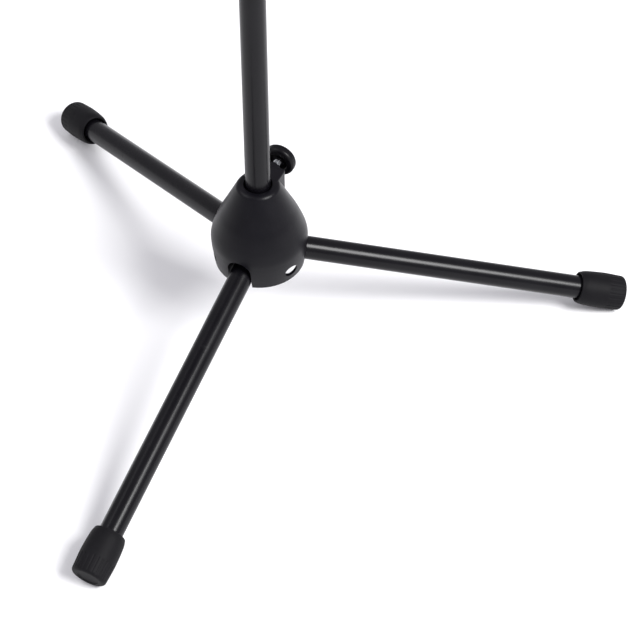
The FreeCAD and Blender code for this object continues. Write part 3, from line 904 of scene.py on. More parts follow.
    def stop(self, azimuth: float, slope: float, leg_radius: float) -> Blank:
        """The web over a leg that it rests against when it is opened out.

        Args:
            azimuth: The leg's direction.
            slope: How steeply it falls.
            leg_radius: Its radius.

        Returns:
            The web.
        """
        lift = (leg_radius + 0.03 * MM) / math.cos(slope)
        near, far = self.stop_near, self.stop_far
        pin_rho, pin_height = self.pin.xy.length, self.pin.z - self.low
        under = [pin_height + lift - (rho - pin_rho) * math.tan(slope) for rho in (near, far)]
        top = self.slot_height + 2 * MM
        outline = Outline(near, under[0]).to(far, under[1]).to(far, top).to(near, top).close()
        web = Blank.traced("stop", outline)
        bpy.ops.mesh.edge_face_add()
        half = self.slot_half + 0.5 * MM
        bpy.ops.mesh.extrude_region_move(TRANSFORM_OT_translate={"value": (0, 2 * half, 0)})
        return web.weld().place(about_z(azimuth) @ Matrix.Translation((0, -half, 0)))

    def build(self, leg: "Leg") -> None:
        """Builds the shell and installs it.

        Args:
            leg: A leg, whose slope and radius the stops follow.
        """
        shell = self.shell_blank().fuse(self.boss())
        for azimuth in self.azimuths.values():
            shell.fuse(*self.cheeks(azimuth))
        for azimuth in self.azimuths.values():
            shell.cut(self.tunnel(azimuth))
            shell.fuse(self.stop(azimuth, leg.slope, leg.radius))
        for azimuth in self.azimuths.values():
            shell.cut(*[way.place(about_z(azimuth)) for way in self.pin_ways()])
        screw_height = centre_of("hub_screw").z - self.low
        start, end = (0, self.mouth_radius + 4 * MM, screw_height), (0, self.collar_face, screw_height)
        collar = Blank.rod("collar", self.collar_radius, start, end)
        collar.pick_sharp(lambda p, d: p.y > self.collar_face - 0.1 * MM)
        shell.fuse(collar.bevel(0.6 * MM, 3).weld())
        shell.cut(self.mouth())
        through = (0, self.screw_reach, screw_height)
        shell.cut(Blank.rod("screw_way", self.screw_radius, (0, 0, screw_height), through))
        shell.place(Matrix.Translation((0, 0, self.low)))
        shell.install("hub", Slot.MOULDED, "hub_shell", smooth=30)
        self.pins()
        dress("hub_insert", "hub_pad")

    def pin_ways(self) -> list[Blank]:
        """The access hole through the skirt and the pin's seat, as tools for a leg along +X."""
        rho, height = self.pin.xy.length, self.pin.z - self.low
        reach = self.slot_half + self.cheek
        starts = (self.access_reach, reach, self.seat_reach)
        outside, cheek, inside = [(rho, -across, height) for across in starts]
        access = Blank.rod("access", self.access_radius, outside, cheek)
        return [access, Blank.rod("seat", self.pin_radius, inside, (rho, reach, height))]

    def mouth(self) -> Blank:
        """The column's bore with its wider, rounded mouth, as a tool."""
        low, ease, clear = self.height - self.mouth_depth, self.mouth_round, MM
        below = -self.bore_run_out
        mouth = Outline(0, below).to(self.bore_radius, below).to(self.bore_radius, low)
        mouth.to(self.mouth_radius, low + 2 * MM).to(self.mouth_radius, self.height - ease)
        mouth.arc((self.mouth_radius + ease, self.height - ease), ease, 180, 90, 4)
        mouth.to(self.mouth_radius + ease, self.height + clear).to(0, self.height + clear)
        return Blank.turned("mouth", mouth, 96)

    def pins(self) -> None:
        """Turns one pivot pin with chamfered ends and sets a copy in each pair of cheeks."""
        half = self.slot_half + self.cheek
        chamfer = 0.5 * MM
        outline = Outline(0, -half).to(self.pin_radius - chamfer, -half).to(self.pin_radius, chamfer - half)
        outline.to(self.pin_radius, half - chamfer).to(self.pin_radius - chamfer, half).to(0, half)
        pin = Blank.turned("pin", outline, 40)
        for name, azimuth in self.azimuths.items():
            centre = centre_of(f"leg_pin_{name}")
            across = about_z(azimuth) @ pointing(Vector((0, 1, 0)))
            copy = pin.twin(f"leg_pin_{name}_turned", Matrix.Translation(centre) @ across)
            copy.install("hub", Slot.ZINC, f"leg_pin_{name}")
        bpy.data.objects.remove(pin.obj)


# ---- legs ---------------------------------------------------------------------
@dataclass
class Leg:
    """A folding leg: a painted tube from its pin to a rubber foot cap."""

    radius: float = 9.5 * MM
    wall: float = 1.25 * MM
    slope: float = math.radians(16.48)
    pin_hole: float = 3.4 * MM
    mouth_at: float = 249.0 * MM
    cap_length: float = 39.0 * MM
    cap_floor: float = 5.0 * MM
    mouth_radius: float = 12.9 * MM
    belly_radius: float = 14.9 * MM
    belly_at: float = 23.0 * MM
    toe_radius: float = 14.3 * MM
    toe_round: float = 3.0 * MM
    flare: float = 1.9 * MM
    flare_depth: float = 7.0 * MM
    flutes: int = 24
    flute_radius: float = 1.35 * MM
    flute_depth: float = 0.45 * MM

    def tube(self) -> Blank:
        """The tube along +Z from its half-round inner end, with its pin holes."""
        end = self.mouth_at + self.cap_length - self.cap_floor
        inner = self.radius - self.wall
        ring = Outline(inner, -self.radius).to(self.radius, -self.radius)
        ring.to(self.radius, end).to(inner, end)
        tube = Blank.turned("leg_tube", ring.close(), 96)
        half = self.radius + MM
        outline = Outline(-self.radius, end + MM).arc((0, 0), self.radius, 180, 360, 32)
        outline.to(self.radius, end + MM).close()
        envelope = Blank.traced("envelope", outline)
        bpy.ops.mesh.edge_face_add()
        bpy.ops.mesh.extrude_region_move(TRANSFORM_OT_translate={"value": (0, 2 * half, 0)})
        envelope.weld().place(Matrix.Translation((0, -half, 0)))
        tube.combine("INTERSECT", [envelope])
        return tube.cut(Blank.rod("pin_hole", self.pin_hole, (0, -half, 0), (0, half, 0)))

    def cap(self) -> Blank:
        """The rubber cap along +Z from its mouth, fluted towards its toe."""
        lip, toe, core = 0.8 * MM, self.cap_length - self.toe_round, self.toe_radius - self.toe_round
        outline = Outline(self.radius + self.flare, 0.0)
        outline.arc((self.mouth_radius - lip, lip), lip, 270, 360, 5)
        outline.through(
            [
                (self.mouth_radius + 1.1 * MM, 5.0 * MM),
                (self.belly_radius - 0.25 * MM, self.belly_at * 0.6),
                (self.belly_radius - 0.02 * MM, self.belly_at - 1.5 * MM),
            ],
            steps=4,
        )
        outline.to(self.belly_radius, self.belly_at).to(self.toe_radius, toe)
        outline.arc((core, toe), self.toe_round, 0, 90, 8)
        outline.to(core - 2.5 * MM, self.cap_length).to(core - 3.0 * MM, self.cap_length - 0.5 * MM)
        outline.to(0, self.cap_length - 0.5 * MM).to(0, self.cap_length - self.cap_floor)
        outline.to(self.radius, self.cap_length - self.cap_floor).to(self.radius, self.flare_depth)
        outline.to(self.radius + 0.3 * MM, self.flare_depth * 0.6).close()
        cap = Blank.turned("foot_cap", outline, 4 * self.flutes)
        stand_off = self.flute_radius - self.flute_depth
        flutes = []
        for count in range(self.flutes):
            turn = FULL_TURN * (count + 0.5) / self.flutes
            out = Vector((math.cos(turn), math.sin(turn), 0))
            start = out * (self.belly_radius + stand_off) + Vector((0, 0, self.belly_at + 1.2 * MM))
            end = out * (self.toe_radius + stand_off) + Vector((0, 0, self.cap_length + 2 * MM))
            flutes.append(Blank.rod(f"flute_{count}", self.flute_radius, start, end, facets=16))
        return cap.cut(flutes[0].join(*flutes[1:]))

    def build(self, name: str, azimuth: float, tube: Blank, cap: Blank) -> None:
        """Sets copies of the tube and the cap on one leg.

        Args:
            name: The leg's name.
            azimuth: Its direction.
            tube: The tube along +Z from its pin.
            cap: The cap along +Z from its mouth.
        """
        pin = centre_of(f"leg_pin_{name}")
        lean = Matrix.Rotation(math.pi / 2 + self.slope, 4, "Y")
        along = Matrix.Translation(pin) @ about_z(azimuth) @ lean
        tube_piece = tube.twin(f"leg_tube_{name}_drawn", along)
        tube_piece.install(f"leg_{name}", Slot.TUBE_PAINT, f"leg_tube_{name}")
        cap_piece = cap.twin(f"foot_{name}_cap", along @ Matrix.Translation((0, 0, self.mouth_at)))
        cap_piece.install(f"leg_{name}", Slot.RUBBER, f"foot_{name}", smooth=40)
        dress(f"leg_lug_{name}")


# ---- thumb screws -------------------------------------------------------------
@dataclass
class Thread:
    """A metric screw thread, drawn as a twisted cam section."""

    root: float = 2.45 * MM
    crest: float = 2.95 * MM
    pitch: float = 1.0 * MM
    facets: int = 40
    steps: int = 16

    def rod(self, name: str, length: float) -> Blank:
        """A threaded rod along +Z.

        Args:
            name: The rod's name.
            length: Its length.

        Returns:
            The rod, closed at both ends.
        """
        crest_share, root_share = 0.12, 0.30
        section = []
        for facet in range(self.facets + 1):
            turn = FULL_TURN * facet / self.facets
            phase = abs(facet / self.facets * 2 - 1)
            rise = min(max((phase - root_share) / (1 - root_share - crest_share), 0.0), 1.0)
            radius = self.root + (self.crest - self.root) * rise
            section.append((radius * math.cos(turn), radius * math.sin(turn)))
        outline = Outline(*section[0])
        for across, along in section[1:]:
            outline.to(across, along)
        rod = Blank.traced(name, outline)
        bpy.ops.object.mode_set(mode="OBJECT")
        rod.place(Matrix.Rotation(math.radians(-90), 4, "X"))
        turns = max(1, round(length / self.pitch))
        rod.apply(
            "SCREW", axis="Z", angle=FULL_TURN, screw_offset=length / turns, iterations=turns,
            steps=self.steps, render_steps=self.steps, use_merge_vertices=False, use_smooth_shade=False,
        )
        return rod.fill_ends()


@dataclass
class Knob:
    """A round moulded knob with a ribbed rim, a dished cap and a recessed back."""

    radius: float = 13.5 * MM
    thick: float = 8.0 * MM
    rounding: float = 2.6 * MM
    recess_radius: float = 8.0 * MM
    recess: float = 2.5 * MM
    collar_radius: float = 0.0
    collar: float = 0.0
    bore: float = 3.0 * MM
    bore_depth: float = 5.8 * MM
    ribs: int = 40
    groove_share: float = 0.25
    groove_depth: float = 0.35 * MM

    def blank(self) -> Blank:
        """The knob along +Z with its back, or its collar's end, at the origin."""
        low, high, rounding = self.collar, self.collar + self.thick, self.rounding
        outline = Outline(0, self.bore_depth).to(self.bore, self.bore_depth)
        if self.collar:
            outline.to(self.bore, 0).to(self.collar_radius - 0.4 * MM, 0)
            outline.to(self.collar_radius, 0.4 * MM).to(self.collar_radius, low)
        else:
            stem = self.bore + 1.6 * MM
            outline.to(self.bore, 0.6 * MM).to(stem, 0.6 * MM).to(stem, self.recess)
            outline.to(self.recess_radius - 0.4 * MM, self.recess)
            outline.to(self.recess_radius, self.recess - 0.4 * MM)
            outline.to(self.recess_radius, 0.4 * MM).to(self.recess_radius + 0.4 * MM, 0)
        outline.arc((self.radius - rounding, low + rounding), rounding, -90, 0, 6)
        outline.arc((self.radius - rounding, high - rounding), rounding, 0, 90, 6)
        dish = self.radius - rounding - 1.4 * MM
        outline.arc((dish, high - 0.5 * MM), 0.5 * MM, 90, 180, 3)
        outline.to(dish - 1.2 * MM, high - 0.75 * MM).to(0, high - 0.45 * MM)
        knob = Blank.turned("knob", outline, 4 * self.ribs)
        middle = (low + high) / 2
        reach = self.thick / 2 - rounding + 0.05 * MM
        step = FULL_TURN / self.ribs

        def in_groove(place: Vector, normal: Vector) -> bool:
            """Whether a face of the rim lies in a groove between two ribs."""
            share = (math.atan2(place.y, place.x) % step) / step
            on_rim = abs(place.z - middle) < reach and place.xy.length > self.radius - 0.2 * MM
            return on_rim and share < self.groove_share

        knob.pick_faces(in_groove)
        knob.sink(self.groove_depth)
        return knob.weld()


@dataclass
class ThumbScrew:
    """A knob on a threaded screw, with its place read from the frame."""

    screw_node: str
    knob_node: str
    body: str
    outward: tuple[float, float, float] = (0, 1, 0)

    def build(self, knob: Blank, thread: Thread) -> None:
        """Sets a threaded screw and a copy of the knob on the clamp's axis.

        Args:
            knob: The knob along +Z with its back at the origin.
            thread: The screw's thread.
        """
        low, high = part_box(self.screw_node)
        axis = centre_of(self.screw_node)
        screw = thread.rod(f"{self.screw_node}_threaded", high.y - low.y)
        turn = pointing(Vector(self.outward))
        screw.place(Matrix.Translation((axis.x, low.y, axis.z)) @ turn)
        screw.install(self.body, Slot.ZINC, self.screw_node, smooth=40)
        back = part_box(self.knob_node)[0].y
        piece = knob.twin(f"{self.knob_node}_ribbed", Matrix.Translation((axis.x, back, axis.z)) @ turn)
        piece.install(self.body, Slot.KNOB, self.knob_node, smooth=34)


# ---- column -------------------------------------------------------------------
@dataclass
class Column:
    """The two painted tubes and the collar that clamps them."""

    wall: float = 1.2 * MM
    collar_radius: float = 14.0 * MM
    boss_radius: float = 9.0 * MM
    screw_way: float = 3.3 * MM
    running_gap: float = 0.08 * MM

    def tube(self, node: str, body: str) -> None:
        """Draws a tube of the column with slightly rounded ends.

        Args:
            node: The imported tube.
            body: The body it rides on.
        """
        low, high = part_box(node)
        radius = high.x
        inner, ease = radius - self.wall, 0.25 * MM
        ring = Outline(inner, low.z).to(radius - ease, low.z).to(radius, low.z + ease)
        ring.to(radius, high.z - ease).to(radius - ease, high.z).to(inner, high.z).close()
        Blank.turned(f"{node}_drawn", ring, 96).install(body, Slot.TUBE_PAINT, node)

    def collar(self) -> None:
        """Builds the moulded collar with its lead-in, its waist and the screw's boss."""
        low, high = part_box("height_collar")
        bottom, top, radius = low.z, high.z, self.collar_radius
        seat_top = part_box("lower_tube")[1].z
        foot, ease = radius - 2.4 * MM, 0.9 * MM
        lead, groove, shoulder = radius - 1.2 * MM, radius - 1.5 * MM, radius - 1.1 * MM
        outline = Outline(0, bottom).to(foot, bottom)
        outline.arc((foot, bottom + ease), ease, -90, 0, 4)
        outline.to(lead, bottom + 8 * MM).to(groove, bottom + 8.4 * MM)
        outline.to(groove, bottom + 9.4 * MM).to(shoulder, bottom + 9.8 * MM)
        outline.through([(radius - 0.6 * MM, bottom + 18 * MM), (radius, bottom + 28 * MM)], steps=5)
        outline.to(radius, top - 5 * MM)
        outline.through([(radius - 0.9 * MM, top - 2.4 * MM), (radius - 3.4 * MM, top)], steps=4).to(0, top)
        collar = Blank.turned("height_collar_moulded", outline, 96)
        axis = centre_of("height_screw")
        boss = Blank.rod("boss", self.boss_radius, (0, 0, axis.z), (0, high.y, axis.z), 64)
        boss.pick_sharp(lambda p, d: p.y > high.y - 0.1 * MM)
        collar.fuse(boss.bevel(1.2 * MM, 4).weld())
        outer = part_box("lower_tube")[1].x
        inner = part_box("upper_tube")[1].x + self.running_gap
        collar.cut(
            Blank.rod("seat", outer, (0, 0, bottom - MM), (0, 0, seat_top), 96),
            Blank.rod("bore", inner, (0, 0, bottom - MM), (0, 0, top + MM), 96),
            Blank.rod("screw_way", self.screw_way, (0, 0, axis.z), (0, high.y + MM, axis.z)),
        )
        collar.install("lower_column", Slot.MOULDED, "height_collar")

    def build(self) -> None:
        """Builds both tubes and the collar, and finishes what stays."""
        self.tube("lower_tube", "lower_column")
        self.tube("upper_tube", "upper_column")
        self.collar()
        dress("lower_plug", "height_insert", "height_pad", "guide_plug")


# ---- tilt joint ---------------------------------------------------------------
@dataclass
class TiltJoint:
    """The head on the upper tube, and the bolt and knob that pinch the desk's ears on it."""

    barrel_radius: float = 13.0 * MM
    socket_radius: float = 12.0 * MM
    shaft: float = 3.0 * MM
    bolt_head_radius: float = 8.0 * MM
    bolt_head: float = 4.0 * MM
    bolt_round: float = 2.6 * MM
    knob_collar_radius: float = 7.0 * MM
    knob_bore_depth: float = 10.0 * MM
    cup_radius: float = 9.0 * MM
    insert_radius: float = 5.0 * MM

    def __post_init__(self) -> None:
        """Reads the tilt axis from the frame."""
        tilt = next(joint for joint in frame["joints"] if joint["name"] == "desk_tilt")
        self.axis = Vector(tilt["pos_m"])

    def head(self) -> None:
        """Builds the moulded head: a ringed socket below a cross barrel."""
        low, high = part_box("tilt_head")
        half, radius, ease = high.x, self.barrel_radius, 0.8 * MM
        outline = Outline(0, -half).to(radius - ease, -half)
        outline.arc((radius - ease, ease - half), ease, -90, 0, 4)
        outline.arc((radius - ease, half - ease), ease, 0, 90, 4).to(0, half)
        barrel = Blank.turned("tilt_head_moulded", outline, 96)
        barrel.place(Matrix.Translation(self.axis) @ pointing(Vector((1, 0, 0))))
        wide, bottom = self.socket_radius, low.z
        skin, floor = wide - 0.6 * MM, wide - MM
        socket = Outline(0, bottom).to(wide - 2 * ease, bottom)
        socket.arc((wide - 2 * ease, bottom + ease), ease, -90, 0, 4)
        socket.to(skin, bottom + 9 * MM).to(floor, bottom + 9.5 * MM)
        socket.to(floor, bottom + 10.5 * MM).to(skin, bottom + 11 * MM)
        socket.to(wide, self.axis.z - 18 * MM).to(wide, self.axis.z).to(0, self.axis.z)
        barrel.fuse(Blank.turned("socket", socket, 96))
        tube_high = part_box("upper_tube")[1]
        reach = Vector((half + MM, 0, 0))
        barrel.cut(
            Blank.rod("seat", tube_high.x, (0, 0, low.z - MM), (0, 0, tube_high.z), 96),
            Blank.rod("way", self.shaft, self.axis - reach, self.axis + reach),
        )
        barrel.install("upper_column", Slot.MOULDED, "tilt_head")

    def bolt(self, thread: Thread) -> None:
        """Builds the round-headed bolt, threaded where the knob runs.

        Args:
            thread: The bolt's thread.
        """
        low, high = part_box("tilt_bolt")
        threaded = 14 * MM
        head_at, end = high.x - self.bolt_head, low.x
        shank = end + threaded
        radius, height = self.bolt_head_radius, self.bolt_head
        top, round_off, ease = head_at + height, self.bolt_round, 0.3 * MM
        dome = Outline(0, shank).to(thread.crest, shank).to(thread.crest, head_at).to(radius - ease, head_at)
        dome.to(radius, head_at + ease).to(radius, top - round_off)
        dome.arc((radius - round_off, top - round_off), round_off, 0, 90, 8).to(0, top)
        bolt = Blank.turned("tilt_bolt_headed", dome, 64)
        screw = thread.rod("bolt_thread", threaded + 0.5 * MM).place(Matrix.Translation((0, 0, end)))
        bolt.join(screw)
        bolt.place(Matrix.Translation((0, self.axis.y, self.axis.z)) @ pointing(Vector((1, 0, 0))))
        bolt.install("desk", Slot.ZINC, "tilt_bolt", smooth=40)

    def knob(self) -> None:
        """Builds the tilt knob with the collar that bears on the cup washer."""
        low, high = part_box("tilt_knob")
        collar = (high.x - low.x) - Knob.thick
        knob = Knob(
            collar_radius=self.knob_collar_radius,
            collar=collar,
            bore=self.insert_radius,
            bore_depth=self.knob_bore_depth,
        )
        blank = knob.blank()
        blank.obj.name = "tilt_knob_ribbed"
        blank.place(Matrix.Translation((high.x, self.axis.y, self.axis.z)) @ pointing(Vector((-1, 0, 0))))
        blank.install("tilt_clamp_knob", Slot.KNOB, "tilt_knob", smooth=34)

    def cup(self) -> None:
        """Turns the cup washer between the left ear and the knob."""
        low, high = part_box("tilt_cup_washer")
        thick, radius, ease = high.x - low.x, self.cup_radius, 0.9 * MM
        outline = Outline(self.shaft, 0).to(radius, 0).to(radius, thick - ease)
        outline.arc((radius - ease, thick - ease), ease, 0, 90, 5)
        outline.to(self.shaft + 2.4 * MM, thick).to(self.shaft + 1.8 * MM, thick - 0.5 * MM)
        outline.to(self.shaft, thick - 0.5 * MM).close()
        cup = Blank.turned("tilt_cup_washer_turned", outline, 64)
        cup.place(Matrix.Translation((high.x, self.axis.y, self.axis.z)) @ pointing(Vector((-1, 0, 0))))
        cup.install("tilt_washer", Slot.ZINC, "tilt_cup_washer")

    def build(self, thread: Thread) -> None:
        """Builds the joint's pieces.

        Args:
            thread: The bolt's thread.
        """
        self.head()
        self.bolt(thread)
        self.knob()
        self.cup()
        dress("tilt_washers", "tilt_insert")


# ---- desk ---------------------------------------------------------------------
@dataclass
class Desk:
    """The pressed panel with its ledge, bracket and rivets, drawn upright about the tilt axis."""

    lean: float = math.radians(22)
    low: float = -110.0 * MM
    high: float = 220.0 * MM
    front: float = -36.0 * MM
    sheet: float = 1.2 * MM
    rim: float = 11.0 * MM
    corner: float = 26.0 * MM
    shelf_depth: float = 52.0 * MM
    lip: float = 15.0 * MM
    flange: float = 24.0 * MM
    slot_length: float = 84.0 * MM
    slot_width: float = 12.0 * MM
    slot_columns: int = 4
    slot_rows: int = 5
    slot_pitch: tuple[float, float] = (108.0 * MM, 44.0 * MM)
    first_slot: float = -22.0 * MM
    bracket_half: tuple[float, float] = (30.0 * MM, 42.0 * MM)
    ear_inner: float = 16.95 * MM
    ear_thick: float = 2.0 * MM
    ear_radius: float = 12.5 * MM
    ear_root: float = 28.0 * MM
    shaft: float = 3.0 * MM
    rivet_inset: float = 6.0 * MM

    def __post_init__(self) -> None:
        """Reads the panel's width and its place from the frame."""
        low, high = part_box("desk_plate")
        self.half = (high.x - low.x) / 2
        tilt = next(joint for joint in frame["joints"] if joint["name"] == "desk_tilt")
        self.upright = Matrix.Translation(Vector(tilt["pos_m"])) @ Matrix.Rotation(-self.lean, 4, "X")

    def panel(self) -> None:
        """Folds the panel's edges back and cuts its long slots."""
        front, rim, half = self.front, self.rim, self.half
        pan = Blank.block("desk_plate_pressed", (-half, front, self.low), (half, front + rim, self.high))
        pan.pick_edges(lambda p, d: abs(d.y) > 0.9 and p.z > self.high - MM)
        pan.bevel(self.corner, 14)
        pan.pick_sharp(lambda p, d: p.y < front + 0.1 * MM and p.z > self.low + MM)
        pan.bevel(2.4 * MM, 5)
        pan.pick_faces(lambda p, n: n.y > 0.9 or n.z < -0.9)
        bpy.ops.mesh.delete(type="FACE")
        pan.weld()
        pan.apply("SOLIDIFY", thickness=self.sheet, offset=-1.0, use_even_offset=True)
        places = [(row, column) for row in range(self.slot_rows) for column in range(self.slot_columns)]
        slots = [self.slot_tool(row, column) for row, column in places]
        pan.cut(slots[0].join(*slots[1:]))
        mouth = self.sheet + 0.05 * MM
        reach = self.half - self.corner * 0.75
        lowest, highest = self.low + 10 * MM, self.high - 8 * MM
        pan.pick_sharp(
            lambda p, d: p.y < front + mouth and abs(p.x) < reach and lowest < p.z < highest,
            60,
        )
        pan.bevel(0.3 * MM, 2).weld()
        pan.place(self.upright).install("desk", Slot.DESK_PAINT, "desk_plate")

    def slot_tool(self, row: int, column: int) -> Blank:
        """One long round-ended slot.

        Args:
            row: Its row, from the bottom.
            column: Its column, from the left.

        Returns:
            The slot, as a tool.
        """
        x = (column - (self.slot_columns - 1) / 2) * self.slot_pitch[0]
        z = self.first_slot + row * self.slot_pitch[1]
        end, radius = (self.slot_length - self.slot_width) / 2, self.slot_width / 2
        outline = Outline(x + end, z - radius).arc((x + end, z), radius, -90, 90, 14)
        outline.arc((x - end, z), radius, 90, 270, 14).close()
        tool = Blank.traced("slot", outline)
        bpy.ops.mesh.edge_face_add()
        bpy.ops.mesh.extrude_region_move(TRANSFORM_OT_translate={"value": (0, 6 * MM, 0)})
        return tool.weld().place(Matrix.Translation((0, self.front - 2 * MM, 0)))

    def shelf(self) -> None:
        """Bends the ledge: a flange behind the panel, a shelf and an upturned lip."""
        back, bend = self.front + 2 * self.sheet, 2.2 * MM
        front, floor = self.front - self.shelf_depth, self.low - self.sheet
        half = self.half - self.sheet - 0.3 * MM
        outline = Outline(back, self.low + self.flange)
        outline.arc((back - bend, floor + bend), bend, 0, -90, 5)
        outline.arc((front + bend, floor + bend), bend, 270, 180, 5).to(front, self.low + self.lip)
        shelf = Blank.traced("desk_shelf_bent", outline)
        bpy.ops.mesh.extrude_region_move(TRANSFORM_OT_translate={"value": (0, 2 * half, 0)})
        shelf.weld()
        shelf.place(Matrix.Rotation(math.pi / 2, 4, "Z"))
        shelf.place(Matrix.Translation((half, 0, 0)))
        mesh = shelf.edit("VERT")
        for vert in mesh.verts:
            vert.select_set(vert.co.z > self.low + self.lip - 0.1 * MM and vert.co.y < self.front - 20 * MM)
        bmesh.update_edit_mesh(shelf.obj.data)
        bpy.ops.mesh.bevel(offset=6 * MM, segments=6, affect="VERTICES")
        shelf.weld()
        inward = 1.0 if self.faces_in(shelf) else -1.0
        shelf.apply("SOLIDIFY", thickness=self.sheet, offset=inward, use_even_offset=True)
        shelf.pick_sharp(lambda p, d: True, 60)
        shelf.bevel(0.25 * MM, 2).weld()
        shelf.place(self.upright).install("desk", Slot.DESK_PAINT, "desk_shelf")

    def faces_in(self, shelf: Blank) -> bool:
        """Whether the ledge's floor faces up, towards the music."""
        floor = [face for face in shelf.obj.data.polygons if face.center.z < self.low - self.sheet / 2]
        return max(floor, key=lambda face: face.area).normal.z > 0

    def bracket(self) -> None:
        """Builds the bracket: a base behind the panel and an ear on each side of the head."""
        back = self.front + self.sheet
        half_width, half_height = self.bracket_half
        low, high = (-half_width, back, -half_height), (half_width, back + self.ear_thick, half_height)
        base = Blank.block("desk_bracket_folded", low, high)
        base.pick_edges(lambda p, d: abs(d.y) > 0.9)
        base.bevel(5 * MM, 8)
        base.pick_sharp(lambda p, d: p.y > back + self.ear_thick - 0.1 * MM)
        base.bevel(0.4 * MM, 2).weld()
        for side in (-1, 1):
            inner, outer = sorted((side * self.ear_inner, side * (self.ear_inner + self.ear_thick)))
            base.fuse(self.ear(inner, outer - inner, back))
        reach = half_width + MM
        base.cut(Blank.rod("way", self.shaft, (-reach, 0, 0), (reach, 0, 0)))
        base.place(self.upright).install("desk", Slot.DESK_PAINT, "desk_bracket")

    def ear(self, start: float, thick: float, back: float) -> Blank:
        """One ear, from the base to a round end about the tilt axis.

        Args:
            start: Where it starts along X.
            thick: Its thickness.
            back: The panel's back, which the base lies on.

        Returns:
            The ear.
        """
        outline = Outline(back + MM, -self.ear_root).arc((0, 0), self.ear_radius, -90, 90, 24)
        outline.to(back + MM, self.ear_root).close()
        ear = Blank.traced("ear", outline)
        bpy.ops.mesh.edge_face_add()
        bpy.ops.mesh.extrude_region_move(TRANSFORM_OT_translate={"value": (0, thick, 0)})
        ear.weld()
        ear.pick_sharp(lambda p, d: abs(d.y) < 0.5 and p.x > back + 4 * MM, 60)
        ear.bevel(0.3 * MM, 2).weld()
        ear.place(Matrix.Rotation(math.pi / 2, 4, "Z"))
        return ear.place(Matrix.Translation((start + thick, 0, 0)))

    def rivets(self) -> None:
        """Turns one rivet for each place, flush in front and round behind."""
        for number in range(1, 6):
            node = f"shelf_rivet_{number}"
            x = centre_of(node).x
            rivet = self.rivet(f"{node}_set", x, self.low + self.flange / 2, self.sheet)
            rivet.place(self.upright).install("desk", Slot.RIVET, node)
        x, z = (half - self.rivet_inset for half in self.bracket_half)
        corners = [(side * x, rise * z) for side in (-1, 1) for rise in (-1, 1)]
        group = [self.rivet("bracket_rivets_set", across, up, self.ear_thick) for across, up in corners]
        group[0].join(*group[1:])
        group[0].place(self.upright).install("desk", Slot.RIVET, "bracket_rivets")

    def rivet(self, name: str, x: float, z: float, backing: float) -> Blank:
        """One rivet along +Y, flush in the panel's front, with a low round head behind.

        Args:
            name: Its name.
            x: Its place across the panel.
            z: Its height.
            backing: The thickness it holds to the panel.

        Returns:
            The rivet.
        """
        head_radius, head, shank, sink = 3.6 * MM, 1.1 * MM, 2.0 * MM, 3.2 * MM
        ball = (head_radius ** 2 + head ** 2) / (2 * head)
        lean = math.degrees(math.asin(head_radius / ball))
        end = self.sheet + backing
        proud = 0.12 * MM
        outline = Outline(0, -proud).to(sink - 0.35 * MM, -proud).to(sink, 0.0).to(shank, self.sheet)
        outline.to(shank, end).to(head_radius, end)
        outline.arc((0, end + head - ball), ball, 90 - lean, 90, 6)
        rivet = Blank.turned(name, outline, 32)
        return rivet.place(Matrix.Translation((x, self.front, z)) @ pointing(Vector((0, 1, 0))))

    def build(self) -> None:
        """Builds the desk's pieces."""
        self.panel()
        self.shelf()
        self.bracket()
        self.rivets()


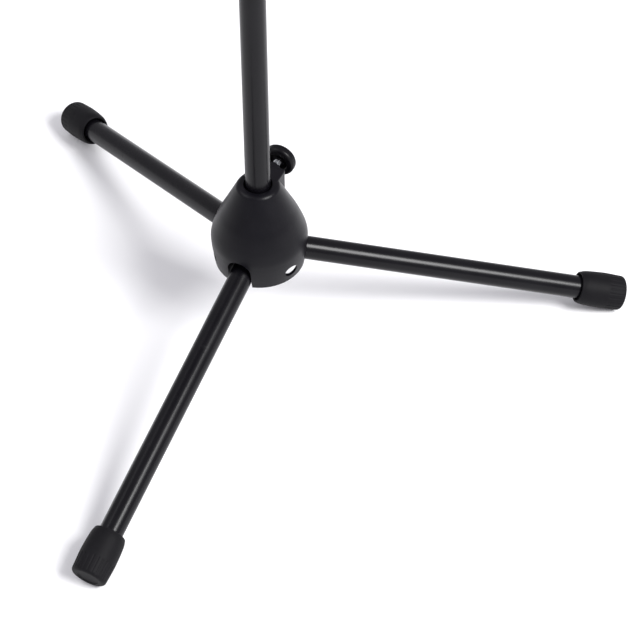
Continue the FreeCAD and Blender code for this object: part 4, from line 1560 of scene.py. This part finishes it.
# ---- studio -------------------------------------------------------------------
@dataclass
class Studio:
    """The camera, the pale floor and the soft lights."""

    aim: tuple[float, float, float] = (0.0399, 0.0275, 0.0)
    azimuth: float = math.radians(-64.565)
    elevation: float = math.radians(46.70)
    distance: float = 2.1567
    roll: float = math.radians(-0.374)
    lens: float = 146.14
    sensor: float = 36.0
    floor_size: float = 16.0
    world_tint: tuple[float, float, float] = (0.955, 0.94, 1.0)
    world_strength: float = 0.58

    def camera(self) -> None:
        """Sets the camera up, looking down on the tripod from the front right."""
        data = bpy.data.cameras.new("camera")
        data.lens = self.lens
        data.sensor_width = self.sensor
        data.clip_end = 50
        camera = bpy.data.objects.new("camera", data)
        bpy.context.scene.collection.objects.link(camera)
        back = self.toward(math.degrees(self.azimuth), math.degrees(self.elevation), 1.0)
        camera.location = Vector(self.aim) + back * self.distance
        camera.rotation_mode = "QUATERNION"
        camera.rotation_quaternion = (-back).to_track_quat("-Z", "Y") @ Quaternion((0, 0, 1), self.roll)
        bpy.context.scene.camera = camera

    def floor(self) -> None:
        """Lays the plain pale floor."""
        clear_bench()
        bpy.ops.mesh.primitive_plane_add(size=self.floor_size)
        floor = bpy.context.object
        floor.name = "floor"
        shop = Shop("floor_pale")
        tone = shop.noise(0.8, 2.0)
        shop.feed(shop.shader.inputs["Base Color"], shop.mix(tone, (0.90, 0.90, 0.91), (0.93, 0.93, 0.935)))
        shop.shader.inputs["Roughness"].default_value = 0.9
        shop.shader.inputs["Specular IOR Level"].default_value = 0.2
        floor.data.materials.append(shop.material)

    @staticmethod
    def toward(azimuth: float, elevation: float, distance: float) -> Vector:
        """A place seen from the column's foot, from its azimuth and elevation in degrees."""
        turn, rise = math.radians(azimuth), math.radians(elevation)
        flat = math.cos(rise)
        return Vector((flat * math.cos(turn), flat * math.sin(turn), math.sin(rise))) * distance

    def area(self, name: str, place: Vector, size: float, power: float, tint: Sequence[float]) -> None:
        """Hangs a square soft light that faces the tripod.

        Args:
            name: Its name.
            place: Where it hangs.
            size: Its side.
            power: Its power in watts.
            tint: Its colour.
        """
        data = bpy.data.lights.new(name, "AREA")
        data.shape = "SQUARE"
        data.size = size
        data.energy = power
        data.color = tint
        light = bpy.data.objects.new(name, data)
        bpy.context.scene.collection.objects.link(light)
        light.location = place
        light.rotation_euler = (Vector((0, 0, 0.1)) - Vector(place)).to_track_quat("-Z", "Y").to_euler()

    def build(self) -> None:
        """Builds the studio."""
        self.camera()
        self.floor()
        right = self.toward(azimuth=-12, elevation=47, distance=3.5)
        self.area("softbox_right", right, size=1.3, power=150, tint=(1.0, 1.0, 1.0))
        left = self.toward(azimuth=-150, elevation=50, distance=4.0)
        self.area("softbox_left", left, size=2.4, power=40, tint=(0.98, 0.98, 1.0))
        world = bpy.data.worlds.new("studio")
        world.use_nodes = True
        background = world.node_tree.nodes["Background"]
        background.inputs["Color"].default_value = (*self.world_tint, 1)
        background.inputs["Strength"].default_value = self.world_strength
        bpy.context.scene.world = world
        view = bpy.context.scene.view_settings
        view.view_transform = "Standard"
        view.look = "None"


def main() -> None:
    """Builds the stand piece by piece, then the studio around it."""
    logging.basicConfig(level=logging.INFO, format="%(name)s %(message)s")
    leg = Leg()
    hub = Hub()
    hub.build(leg)
    tube, cap = leg.tube(), leg.cap()
    for name, azimuth in hub.azimuths.items():
        leg.build(name, azimuth, tube, cap)
    for pattern in (tube, cap):
        bpy.data.objects.remove(pattern.obj)
    Column().build()
    thread = Thread()
    knob = Knob().blank()
    for clamp in (
        ThumbScrew("hub_screw", "hub_knob", "hub_clamp_knob"),
        ThumbScrew("height_screw", "height_knob", "height_clamp_knob"),
    ):
        clamp.build(knob, thread)
    bpy.data.objects.remove(knob.obj)
    TiltJoint().build(thread)
    Desk().build()
    Studio().build()


if __name__ == "__main__":
    main()
